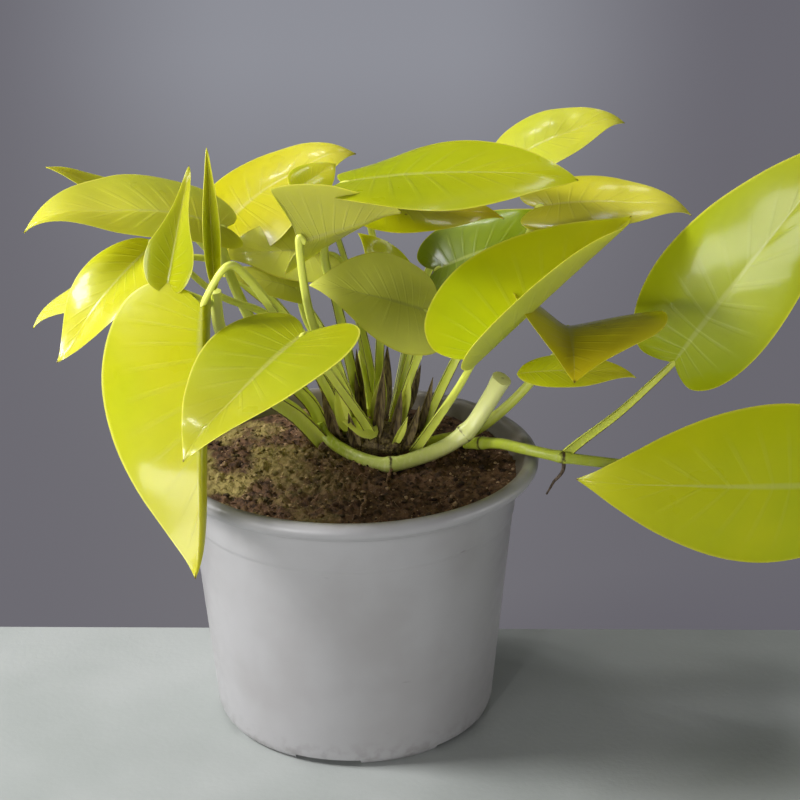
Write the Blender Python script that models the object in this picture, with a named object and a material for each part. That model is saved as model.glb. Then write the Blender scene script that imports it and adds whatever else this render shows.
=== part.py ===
"""Potted golden pothos: a nursery pot of soil with leaves, petioles, stems and roots.

The origin is the centre of the pot's underside and +Z is up.  +X is the side that the long
vine trails over, and -Y is the side that most leaves face.  Sizes below are millimetres.
"""
import math
from collections import namedtuple

import bmesh
import bpy
from mathutils import Vector

MM = 0.001

# The pot's wall, turned about Z, as radius and height: up its outside, over its rolled lip,
# then down its inside.
POT_PROFILE = (
    (0, 0), (45, 0), (47.2, 1.3), (48, 4.5), (55.4, 86), (60.9, 88.5), (62.5, 90.3),
    (62.1, 92.3), (60.3, 93.5), (58.7, 93.5), (57.7, 92.5), (54.4, 84), (46.4, 6.1),
    (43.4, 1.6), (0, 1.6),
)
# The plug of soil, a gap inside the pot's wall and floor, with a low crown.
SOIL_PROFILE = (
    (0, 4.5), (44, 4.5), (46, 8), (53.8, 83), (54.3, 85.6), (50, 86), (34, 86.7), (15, 87),
    (0, 87),
)
TURNED_SIDES = 48

DRAIN_COUNT = 6
DRAIN_WIDTH = 22.0
DRAIN_HEIGHT = 2.2
DRAIN_START_ANGLE = -102.0
DRAIN_INNER_RADIUS = 42.0
DRAIN_OUTER_RADIUS = 51.0

LEAF_THICKNESS = 0.8
LEAF_ROWS = 10
HALF_COLUMNS = 3
VEIN_SWEEP = 2.2
LEAST_CURL = 0.5
TUBE_BEVEL_STEPS = 1
SAMPLES_PER_POINT = 3
STALK_CLEARANCE = 1.0
SHARP_ANGLE = 40.0

# Half outline of a heart shaped leaf: along the midrib, and across as a part of the half width.
HEART = (
    (0.00, 0.00), (-0.07, 0.20), (-0.10, 0.48), (-0.04, 0.77), (0.10, 0.95), (0.28, 1.00),
    (0.48, 0.88), (0.68, 0.62), (0.84, 0.32), (0.94, 0.11), (1.00, 0.00),
)

# Half outline of a narrow leaf, without lobes behind its base.
LANCE = (
    (0.00, 0.00), (0.02, 0.25), (0.07, 0.55), (0.18, 0.85), (0.33, 1.00), (0.50, 0.97),
    (0.67, 0.76), (0.82, 0.44), (0.93, 0.17), (1.00, 0.00),
)

# Each leaf: where its base and tip are, the way its upper side faces, its width, how far its
# midrib arches up and bows sideways, how far its left and right halves are raised, how much
# its margins turn down, how far it twists from base to tip, how much wider its left half is
# than its right, its colour and its outline.
Leaf = namedtuple(
    "Leaf", "name base tip faces width arch bow left right curl twist skew colour outline",
    defaults=(0.0, 0.0, 10.0, 10.0, 20.0, 0.0, 0.0, "lemon", HEART),
)

LEAVES = (
    Leaf("leaf_front_left_hanging", (-45, -36, 158), (-48, -68, 80), (-0.35, -0.9, 0.1), 52,
         arch=8, bow=-2, left=-90, right=10, curl=20, skew=-0.3),
    Leaf("leaf_front_left", (-14, -38, 148), (-48, -88, 127), (-0.1, -0.4, 0.9), 50,
         arch=3, left=25, right=5, curl=10, skew=0.15),
    Leaf("leaf_left_low", (-55, -12, 161), (-92, -25, 135), (-0.3, -0.6, 0.7), 30, arch=3, left=25,
         outline=LANCE),
    Leaf("leaf_left_low_back", (-66, 12, 156), (-103, 0, 138), (-0.3, -0.2, 1.0), 22, arch=1,
         outline=LANCE),
    Leaf("leaf_left_upper", (-44, 8, 174), (-100, -14, 175), (-0.1, -0.22, 1.0), 46, arch=7),
    Leaf("leaf_left_young", (-57, -28, 168), (-49, -23, 198), (-0.2, -0.9, 0.2), 16,
         left=35, right=35, outline=LANCE),
    Leaf("leaf_left_spear", (-42, -22, 157), (-43, -16, 201), (0.1, -1.0, 0.1), 12,
         left=70, right=70, outline=LANCE),
    Leaf("leaf_left_back", (-60, 30, 173), (-98, 18, 188), (-0.1, -0.3, 0.9), 24, arch=1),
    Leaf("leaf_centre", (26, 8, 139), (-13, -12, 155), (0.0, -0.5, 0.9), 36, arch=2,
         colour="green"),
    Leaf("leaf_yellow_upper", (-40, 39, 158), (3, 52, 181), (-0.4, -0.6, 0.7), 34, arch=4, bow=-3,
         left=0, right=50, skew=0.2, colour="yellow"),
    Leaf("leaf_small_upper", (-18, 22, 177), (-4, 38, 180), (0.0, -0.7, 0.7), 12, outline=LANCE),
    Leaf("leaf_top", (0, 9, 184), (73, -4, 186), (0.0, -0.12, 1.0), 58, arch=3, left=0, right=15,
         twist=-30, colour="green"),
    Leaf("leaf_under_top", (-19, -8, 163), (17, -6, 174), (0.0, 1.0, 0.1), 36, arch=1, left=50,
         right=0, twist=-40),
    Leaf("leaf_behind_right", (30, 42, 143), (82, 38, 160), (0.0, -0.35, 0.95), 36, arch=3,
         colour="green"),
    Leaf("leaf_narrow_inner", (22, 25, 138), (5, 20, 162), (0.5, -0.8, 0.3), 14,
         colour="green", outline=LANCE),
    Leaf("leaf_front_right", (37, -28, 134), (91, 0, 172), (-0.2, -0.85, 0.45), 54,
         arch=1, left=0, right=100, curl=10, colour="green"),
    Leaf("leaf_curled_right", (71, -3, 135), (69, -40, 131), (0.0, -0.2, 1.0), 50,
         arch=4, left=22, right=35, skew=0.3, colour="olive"),
    Leaf("leaf_vine_upper", (107, 5, 120), (161, -5, 202), (-0.3, -0.9, 0.3), 44,
         arch=5, left=5, right=5, skew=0.1),
    Leaf("leaf_stem_end", (56, 0, 115), (94, -4, 119), (0.0, -0.6, 0.8), 17, arch=4, outline=LANCE),
    Leaf("leaf_vine_lower", (162, -14, 84), (73, -20, 90), (0.0, -1.0, 0.1), 56,
         arch=5, left=5, right=5),
    Leaf("leaf_middle_left", (-8, 29, 154), (-40, 14, 154), (-0.1, -0.45, 0.9), 30, arch=2,
         colour="olive"),
    Leaf("leaf_inner_left", (-17, 24, 142), (-44, 17, 149), (0.0, -0.4, 0.9), 16, arch=2),
    Leaf("leaf_olive_middle", (6, 22, 171), (52, 24, 166), (0.0, -0.4, 0.9), 24, arch=1,
         colour="olive"),
    Leaf("leaf_right_pointing", (62, 16, 172), (113, 14, 169), (0.0, -0.4, 0.9), 29, arch=4,
         colour="yellow"),
    Leaf("leaf_top_back", (57, 52, 178), (96, 55, 191), (-0.3, -0.5, 0.8), 30, arch=5, right=35),
)

# Each stalk: its foot at the crown, the points it passes, and its radii at foot and top.  It
# ends just short of its leaf's base.
Stalk = namedtuple("Stalk", "leaf path foot_radius top_radius")

STALKS = (
    Stalk("leaf_front_left_hanging", ((0, 22, 88), (-10, 4, 118), (-22, -12, 143),
          (-31, -24, 161), (-37, -33, 168)), 1.8, 1.5),
    Stalk("leaf_front_left", ((9, 16, 88), (3, 4, 104), (-8, -14, 128), (-12, -28, 142)), 1.7, 1.4),
    Stalk("leaf_left_low", ((-3, 28, 88), (-12, 14, 118), (-26, 2, 140), (-43, -6, 151)), 1.6, 1.2),
    Stalk("leaf_left_low_back", ((-4, 36, 88), (-22, 34, 130), (-46, 24, 153)), 1.6, 1.2),
    Stalk("leaf_left_upper", ((-9, 23, 89), (-14, 18, 104), (-25, 12, 120), (-37, 6, 148),
          (-42, 8, 166)), 2.4, 1.6),
    Stalk("leaf_left_back", ((1, 43, 88), (-16, 46, 118), (-40, 42, 142), (-56, 35, 162)), 1.6, 1.2),
    Stalk("leaf_centre", ((13, 17, 88), (20, 17, 112), (26, 14, 130)), 1.7, 1.3),
    Stalk("leaf_yellow_upper", ((2, 35, 88), (-8, 37, 120), (-26, 38, 146)), 1.6, 1.3),
    Stalk("leaf_small_upper", ((7, 43, 88), (2, 48, 130), (-6, 47, 160), (-12, 34, 170)), 1.3, 1.0),
    Stalk("leaf_top", ((5, 29, 88), (1, 18, 112), (-4, 12, 140), (-8, 11, 158),
          (-6, 10, 176)), 1.9, 1.5),
    Stalk("leaf_under_top", ((2, 17, 88), (-1, 8, 110), (-12, -6, 140)), 2.0, 1.6),
    Stalk("leaf_behind_right", ((17, 34, 88), (22, 38, 112), (29, 42, 132)), 1.6, 1.3),
    Stalk("leaf_narrow_inner", ((13, 26, 88), (19, 27, 112), (24, 30, 130)), 1.4, 1.1),
    Stalk("leaf_front_right", ((21, 10, 88), (28, -2, 104), (34, -18, 121)), 1.7, 1.4),
    Stalk("leaf_curled_right", ((30, 15, 90), (42, 16, 93), (54, 15, 103), (65, 12, 117),
          (71, 4, 128)), 2.0, 1.5),
    Stalk("leaf_vine_upper", ((71, -10, 97), (82, -6, 104), (95, -1, 112)), 1.6, 1.5),
    Stalk("leaf_vine_lower", ((128, -6, 86), (146, -3, 85), (158, -7, 84)), 1.6, 1.4),
    Stalk("leaf_middle_left", ((10, 38, 88), (5, 37, 120), (-2, 32, 148)), 1.5, 1.2),
    Stalk("leaf_inner_left", ((0, 30, 88), (-6, 27, 112), (-15, 25, 131)), 1.4, 1.1),
    Stalk("leaf_olive_middle", ((9, 31, 88), (10, 32, 112), (11, 34, 140), (8, 28, 160)), 1.7, 1.4),
    Stalk("leaf_left_young", ((-46, -23, 156), (-52, -26, 162)), 1.2, 1.0),
    Stalk("leaf_right_pointing", ((23, 22, 88), (38, 14, 125), (57, 14, 158)), 1.7, 1.3),
    Stalk("leaf_top_back", ((15, 43, 88), (26, 62, 130), (44, 62, 165)), 1.7, 1.3),
)

# Each stem or root: the points it passes and its radius at each end.
Stem = namedtuple("Stem", "name path start_radius end_radius colour")

STEMS = (
    Stem("main_stem", ((-6, 12, 91.6), (0, 5, 90.2), (6, 0, 89.6), (13, -3, 89.6), (22, 0, 90),
         (32, 3, 93), (40, 4, 99), (46, 3, 109), (50, 0, 118)), 2.3, 3.2, "pale"),
    Stem("left_shoot", ((-11, 14, 96), (-19, 5, 105), (-28, -4, 116), (-36, -12, 131),
         (-41, -17, 142), (-42, -20, 152)), 3.0, 2.2, "stem"),
    Stem("side_vine", ((39, 12, 89.6), (49, 2, 93), (58, -9, 96.6), (69, -13, 94), (84, -11, 91),
                       (104, -8, 88), (125, -6, 86)), 2.4, 1.8, "stem"),
    Stem("aerial_root", ((67, -13, 90.8), (66, -14, 86), (63, -16, 80), (61, -17, 77)), 0.9, 0.5,
         "root"),
    Stem("stem_root", ((13, -6, 88.5), (12, -10, 87.8), (11, -15, 87.4)), 0.5, 0.35, "root"),
    Stem("surface_root", ((4, -25, 87.3), (4, -30, 88), (3, -35, 87.8), (2, -40, 87.0)), 0.5, 0.3,
         "root"),
)

COLOURS = {
    "lemon": (0.56, 0.62, 0.03),
    "yellow": (0.70, 0.62, 0.03),
    "green": (0.36, 0.50, 0.03),
    "olive": (0.45, 0.45, 0.05),
    "pale": (0.62, 0.68, 0.22),
    "stem": (0.40, 0.52, 0.12),
    "root": (0.30, 0.20, 0.10),
    "soil": (0.07, 0.045, 0.03),
    "pot": (0.45, 0.44, 0.46),
}
ROUGHNESS = {"soil": 0.95, "root": 0.8, "pot": 0.45}
LEAF_ROUGHNESS = 0.35


def clear_scene():
    """Remove the objects that Blender starts with."""
    for existing in list(bpy.data.objects):
        bpy.data.objects.remove(existing, do_unlink=True)


def material(name):
    """Return the material of a named colour, made once."""
    found = bpy.data.materials.get(name)
    if found:
        return found
    made = bpy.data.materials.new(name)
    made.use_nodes = True
    shader = made.node_tree.nodes["Principled BSDF"]
    shader.inputs["Base Color"].default_value = (*COLOURS[name], 1.0)
    shader.inputs["Roughness"].default_value = ROUGHNESS.get(name, LEAF_ROUGHNESS)
    shader.inputs["Metallic"].default_value = 0.0
    return made


def add_mesh_object(name, mesh, colour):
    """Put a mesh in the scene as a named object with its material."""
    mesh.shade_smooth()
    mesh.set_sharp_from_angle(angle=math.radians(SHARP_ANGLE))
    mesh.materials.append(material(colour))
    made = bpy.data.objects.new(name, mesh)
    bpy.context.scene.collection.objects.link(made)
    return made


def spline_point(points, place):
    """Return the point at place (0 to 1) on a smooth curve through points."""
    spans = len(points) - 1
    scaled = min(max(place, 0.0), 1.0) * spans
    first = min(int(scaled), spans - 1)
    t = scaled - first
    p1 = Vector(points[first])
    p2 = Vector(points[first + 1])
    p0 = Vector(points[first - 1]) if first > 0 else p1 * 2 - p2
    p3 = Vector(points[first + 2]) if first + 2 <= spans else p2 * 2 - p1
    bend = (p0 * 2 - p1 * 5 + p2 * 4 - p3) * t * t
    swing = (p1 * 3 - p0 - p2 * 3 + p3) * t * t * t
    return (p1 * 2 + (p2 - p0) * t + bend + swing) * 0.5


class Blade:
    """The curved surface that a flat leaf outline is laid on."""

    def __init__(self, leaf):
        self.leaf = leaf
        self.base = Vector(leaf.base)
        self.chord = Vector(leaf.tip) - self.base
        along = self.chord.normalized()
        faces = Vector(leaf.faces)
        self.normal = (faces - along * faces.dot(along)).normalized()
        self.side = along.cross(self.normal)
        self.rise = self.normal * leaf.arch + self.side * leaf.bow

    def midrib(self, x):
        """Return the midrib's point and direction at x, from base 0 to tip 1."""
        inside = max(x, 0.0)
        direction = self.chord + self.rise * (4 - 8 * inside)
        point = self.base + self.chord * inside + self.rise * (4 * inside * (1 - inside))
        point += direction * (x - inside)
        return point, direction.normalized()

    def point(self, x, y):
        """Return the surface point at x along the midrib and y half widths to the right."""
        leaf = self.leaf
        start, along = self.midrib(x)
        side = along.cross(self.normal).normalized()
        up = side.cross(along)
        turn = math.radians(leaf.twist * x)
        out = side * math.cos(turn) + up * math.sin(turn)
        up = up * math.cos(turn) - side * math.sin(turn)
        fold = math.radians(leaf.right if y > 0 else leaf.left)
        half = leaf.width / 2 * (1 - leaf.skew * math.copysign(1, y))
        distance = abs(y) * half
        turn_rate = math.radians(max(leaf.curl, LEAST_CURL)) / half
        end = fold - turn_rate * distance
        across = (math.sin(fold) - math.sin(end)) / turn_rate
        raised = (math.cos(end) - math.cos(fold)) / turn_rate
        return start + out * math.copysign(across, y) + up * raised


def leaf_mesh(leaf):
    """Return a mesh of the leaf's middle surface, its rows running out like lateral veins."""
    blade = Blade(leaf)
    shape = bmesh.new()
    rows = [[shape.verts.new(blade.point(0, 0) * MM)]]
    for row in range(1, LEAF_ROWS):
        place = row / LEAF_ROWS
        margin = spline_point([(x, y, 0) for x, y in leaf.outline], place)
        vein = place ** VEIN_SWEEP
        verts = []
        for column in range(-HALF_COLUMNS, HALF_COLUMNS + 1):
            out = abs(column) / HALF_COLUMNS
            x = vein + (margin.x - vein) * out
            y = math.copysign(margin.y * out, column)
            verts.append(shape.verts.new(blade.point(x, y) * MM))
        rows.append(verts)
    rows.append([shape.verts.new(blade.point(1, 0) * MM)])
    for lower, upper in zip(rows, rows[1:]):
        for column in range(2 * HALF_COLUMNS):
            corners = [lower[min(column, len(lower) - 1)], lower[min(column + 1, len(lower) - 1)],
                       upper[min(column + 1, len(upper) - 1)], upper[min(column, len(upper) - 1)]]
            shape.faces.new(list(dict.fromkeys(corners)))
    mesh = bpy.data.meshes.new(leaf.name)
    shape.to_mesh(mesh)
    shape.free()
    return mesh


def make_leaf(leaf):
    """Build one leaf as a thin closed solid."""
    made = add_mesh_object(leaf.name, leaf_mesh(leaf), leaf.colour)
    shell = made.modifiers.new("thickness", "SOLIDIFY")
    shell.thickness = LEAF_THICKNESS * MM
    shell.offset = 0.0
    return made


def make_tube(name, path, start_radius, end_radius, colour, samples):
    """Build a tapering round tube with closed ends along a smooth path."""
    curve = bpy.data.curves.new(name, "CURVE")
    curve.dimensions = "3D"
    curve.bevel_depth = MM
    curve.bevel_resolution = TUBE_BEVEL_STEPS
    curve.use_fill_caps = True
    spline = curve.splines.new("POLY")
    spline.points.add(samples - 1)
    for index, point in enumerate(spline.points):
        place = index / (samples - 1)
        point.co = (*(spline_point(path, place) * MM), 1.0)
        point.radius = start_radius + (end_radius - start_radius) * place
    curve.materials.append(material(colour))
    made = bpy.data.objects.new(name, curve)
    bpy.context.scene.collection.objects.link(made)
    return made


def make_stalk(stalk, leaves):
    """Build a leaf's petiole from the crown to just short of the leaf's base."""
    base = Vector(leaves[stalk.leaf].base)
    last = Vector(stalk.path[-1])
    end = base - (base - last).normalized() * (stalk.top_radius + STALK_CLEARANCE)
    name = stalk.leaf.replace("leaf", "petiole", 1)
    samples = SAMPLES_PER_POINT * len(stalk.path) + 1
    path = (*stalk.path, end)
    return make_tube(name, path, stalk.foot_radius, stalk.top_radius, "stem", samples)


def make_turned(name, profile):
    """Build a solid by turning a profile about Z; a radius of 0 closes it."""
    shape = bmesh.new()
    rings = []
    for radius, height in profile:
        if radius == 0:
            rings.append([shape.verts.new((0, 0, height * MM))])
            continue
        ring = []
        for step in range(TURNED_SIDES):
            angle = 2 * math.pi * step / TURNED_SIDES
            place = (radius * math.cos(angle) * MM, radius * math.sin(angle) * MM, height * MM)
            ring.append(shape.verts.new(place))
        rings.append(ring)
    for lower, upper in zip(rings, rings[1:]):
        for step in range(TURNED_SIDES):
            following = (step + 1) % TURNED_SIDES
            corners = [lower[step % len(lower)], lower[following % len(lower)],
                       upper[following % len(upper)], upper[step % len(upper)]]
            shape.faces.new(list(dict.fromkeys(corners)))
    bmesh.ops.recalc_face_normals(shape, faces=shape.faces)
    mesh = bpy.data.meshes.new(name)
    shape.to_mesh(mesh)
    shape.free()
    return add_mesh_object(name, mesh, name)


def cut_drain(pot, index):
    """Cut one shallow drain slot through the pot's foot."""
    angle = math.radians(DRAIN_START_ANGLE + 360 * index / DRAIN_COUNT)
    bpy.ops.mesh.primitive_cube_add(size=1.0)
    cutter = bpy.context.object
    cutter.name = f"drain_cutter_{index + 1}"
    for vert in cutter.data.vertices:
        vert.co.x *= (DRAIN_OUTER_RADIUS - DRAIN_INNER_RADIUS) * MM
        vert.co.y *= DRAIN_WIDTH * MM
        vert.co.z *= DRAIN_HEIGHT * 2 * MM
    middle = (DRAIN_OUTER_RADIUS + DRAIN_INNER_RADIUS) / 2 * MM
    cutter.location = (middle * math.cos(angle), middle * math.sin(angle), 0)
    cutter.rotation_euler = (0, 0, angle)
    cutter.hide_render = True
    cutter.display_type = "WIRE"
    cut = pot.modifiers.new(cutter.name, "BOOLEAN")
    cut.operation = "DIFFERENCE"
    cut.solver = "EXACT"
    cut.object = cutter


def main():
    """Build every piece of the plant and its pot."""
    clear_scene()
    pot = make_turned("pot", POT_PROFILE)
    for index in range(DRAIN_COUNT):
        cut_drain(pot, index)
    make_turned("soil", SOIL_PROFILE)
    leaves = {leaf.name: leaf for leaf in LEAVES}
    for leaf in LEAVES:
        make_leaf(leaf)
    for stalk in STALKS:
        make_stalk(stalk, leaves)
    for stem in STEMS:
        make_tube(*stem, samples=SAMPLES_PER_POINT * len(stem.path))


main()
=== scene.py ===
"""A golden pothos in its grey nursery pot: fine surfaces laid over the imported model.

The frame's origin is the centre of the pot's underside, +Z is up, +X is the side that the vine
trails over and -Y is the side that most leaves face.  Tables below are in millimetres and
degrees; everything that is built is in metres.
"""
from __future__ import annotations

import logging
import math
import random
from collections.abc import Sequence
from dataclasses import dataclass, field
from enum import Enum

import bmesh
import bpy
import numpy as np
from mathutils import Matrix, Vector, noise


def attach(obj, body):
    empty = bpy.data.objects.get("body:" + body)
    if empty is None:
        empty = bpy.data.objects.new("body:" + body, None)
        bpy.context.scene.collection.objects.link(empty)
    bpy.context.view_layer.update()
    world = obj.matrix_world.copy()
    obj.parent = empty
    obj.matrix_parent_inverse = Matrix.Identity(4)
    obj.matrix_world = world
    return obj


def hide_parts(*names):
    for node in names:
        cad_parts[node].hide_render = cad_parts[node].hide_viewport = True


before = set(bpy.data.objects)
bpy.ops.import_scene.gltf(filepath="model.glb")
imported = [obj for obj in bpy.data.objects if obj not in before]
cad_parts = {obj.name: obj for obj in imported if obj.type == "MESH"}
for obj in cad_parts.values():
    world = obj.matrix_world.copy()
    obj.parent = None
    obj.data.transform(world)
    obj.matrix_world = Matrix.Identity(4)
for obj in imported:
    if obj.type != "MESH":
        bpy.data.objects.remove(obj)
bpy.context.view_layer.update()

LOG = logging.getLogger("pothos")
MM = 0.001
BODY = "root"

Point = tuple[float, float, float]
Colour = tuple[float, float, float]
Outline = tuple[tuple[float, float], ...]
Array = np.ndarray


class Slot(str, Enum):
    """The record's material slots, by what they finish."""

    LEMON = "leaf_lemon"
    YELLOW = "leaf_yellow"
    GREEN = "leaf_green"
    OLIVE = "leaf_olive"
    PETIOLE = "petiole"
    STEM = "pale_stem"
    ROOT = "root"
    SOIL = "soil"
    POT = "pot"


# Half outline of a heart shaped leaf: along the midrib, and across as a part of the half width.
HEART: Outline = (
    (0.00, 0.00), (-0.07, 0.20), (-0.10, 0.48), (-0.04, 0.77), (0.10, 0.95), (0.28, 1.00),
    (0.48, 0.88), (0.68, 0.62), (0.84, 0.32), (0.94, 0.11), (1.00, 0.00),
)

# Half outline of a narrow leaf, without lobes behind its base.
LANCE: Outline = (
    (0.00, 0.00), (0.02, 0.25), (0.07, 0.55), (0.18, 0.85), (0.33, 1.00), (0.50, 0.97),
    (0.67, 0.76), (0.82, 0.44), (0.93, 0.17), (1.00, 0.00),
)

# Half outline of an oval leaf with small lobes.
OVAL: Outline = (
    (0.00, 0.00), (-0.03, 0.22), (-0.04, 0.50), (0.02, 0.78), (0.14, 0.96), (0.30, 1.00),
    (0.50, 0.88), (0.70, 0.61), (0.85, 0.32), (0.95, 0.12), (1.00, 0.00),
)

# Half outline of a young leaf: broad near its base, with a long drawn out tip.
SPADE: Outline = (
    (0.00, 0.00), (-0.03, 0.30), (0.03, 0.75), (0.18, 1.00), (0.34, 0.92), (0.50, 0.60),
    (0.66, 0.34), (0.82, 0.20), (0.94, 0.10), (1.00, 0.00),
)

# Half outline of a leaf that opens like a funnel from its stalk to sharp shoulders.
FUNNEL: Outline = (
    (0.00, 0.00), (0.00, 0.30), (-0.05, 0.62), (-0.13, 0.96), (-0.06, 1.00), (0.16, 0.96),
    (0.42, 0.84), (0.64, 0.60), (0.82, 0.34), (0.94, 0.13), (1.00, 0.00),
)

# Half outline of a broad curled leaf, nearly square at its lobes.
SHIELD: Outline = (
    (0.00, 0.00), (-0.08, 0.30), (-0.10, 0.62), (-0.04, 0.88), (0.12, 1.00), (0.34, 1.00),
    (0.56, 0.86), (0.74, 0.56), (0.88, 0.24), (1.00, 0.00),
)


def smooth_path(points: Array, places: Array) -> Array:
    """Read places on the smooth curve through some points.

    Args:
        points: The points that the curve passes, one a row.
        places: Where to read it, 0 at the first point and 1 at the last.

    Returns:
        One point a row, for each place.
    """
    spans = len(points) - 1
    scaled = np.clip(places, 0.0, 1.0) * spans
    first = np.minimum(scaled.astype(int), spans - 1)
    t = (scaled - first)[:, None]
    ends = np.vstack([2 * points[0] - points[1], points, 2 * points[-1] - points[-2]])
    p0, p1, p2, p3 = (ends[first + step] for step in range(4))
    bend = (2 * p0 - 5 * p1 + 4 * p2 - p3) * t ** 2
    swing = (3 * p1 - p0 - 3 * p2 + p3) * t ** 3
    return (2 * p1 + (p2 - p0) * t + bend + swing) / 2


def unit(vectors: Array) -> Array:
    """Return the vectors along the last axis at length 1."""
    return vectors / np.maximum(np.linalg.norm(vectors, axis=-1, keepdims=True), 1e-12)


def bell(values: Array, width: float) -> Array:
    """Return a bell curve of the values, 1 at 0 and falling off over the width."""
    return np.exp(-(values / width) ** 2)


def ramp(values: Array, start: float, end: float) -> Array:
    """Return the smooth step of the values from 0 at start to 1 at end."""
    t = np.clip((values - start) / (end - start), 0.0, 1.0)
    return t * t * (3 - 2 * t)


def place_piece(piece: bpy.types.Object, slot: Slot, nodes: tuple[str, ...] = ()) -> None:
    """Let a piece ride on the plant, in place of the plain nodes that it stands for.

    Args:
        piece: The finished piece.
        slot: The record's slot that its finish comes from; not used.
        nodes: The plain nodes that it stands for.
    """
    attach(piece, BODY)
    if nodes:
        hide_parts(*nodes)


def mesh_piece(name: str, points: Array, faces: list[tuple[int, ...]],
               materials: list[bpy.types.Material], sharp: float = 50.0) -> bpy.types.Object:
    """Make a smooth shaded mesh object, its faces pointing out.

    Args:
        name: The piece's name.
        points: One corner a row, in metres.
        faces: The corners of each face.
        materials: The materials, by slot.
        sharp: The angle between faces from which an edge stays sharp, in degrees.

    Returns:
        The new object, in the scene.
    """
    mesh = bpy.data.meshes.new(name)
    mesh.from_pydata(points.tolist(), [], faces)
    shape = bmesh.new()
    shape.from_mesh(mesh)
    bmesh.ops.recalc_face_normals(shape, faces=shape.faces)
    shape.to_mesh(mesh)
    shape.free()
    mesh.shade_smooth()
    mesh.set_sharp_from_angle(angle=math.radians(sharp))
    for material in materials:
        mesh.materials.append(material)
    piece = bpy.data.objects.new(name, mesh)
    bpy.context.scene.collection.objects.link(piece)
    return piece


def join_rings(low: Sequence[int], high: Sequence[int]) -> list[tuple[int, ...]]:
    """Join two closed rings of corners with faces, triangles where a ring is one corner.

    Args:
        low: The first ring's corners, or one corner repeated.
        high: The second ring's corners, as many as the first's.

    Returns:
        The faces between them.
    """
    following = [*range(1, len(low)), 0]
    return [tuple(dict.fromkeys((int(low[k]), int(low[n]), int(high[n]), int(high[k]))))
            for k, n in enumerate(following)]


def add_floats(mesh: bpy.types.Mesh, name: str, values: Array) -> None:
    """Store one number for each corner point of a mesh, for its material to read."""
    layer = mesh.attributes.new(name, "FLOAT", "POINT")
    layer.data.foreach_set("value", values.astype(np.float32).ravel())


# ---------------------------------------------------------------------------------- finishes


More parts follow.
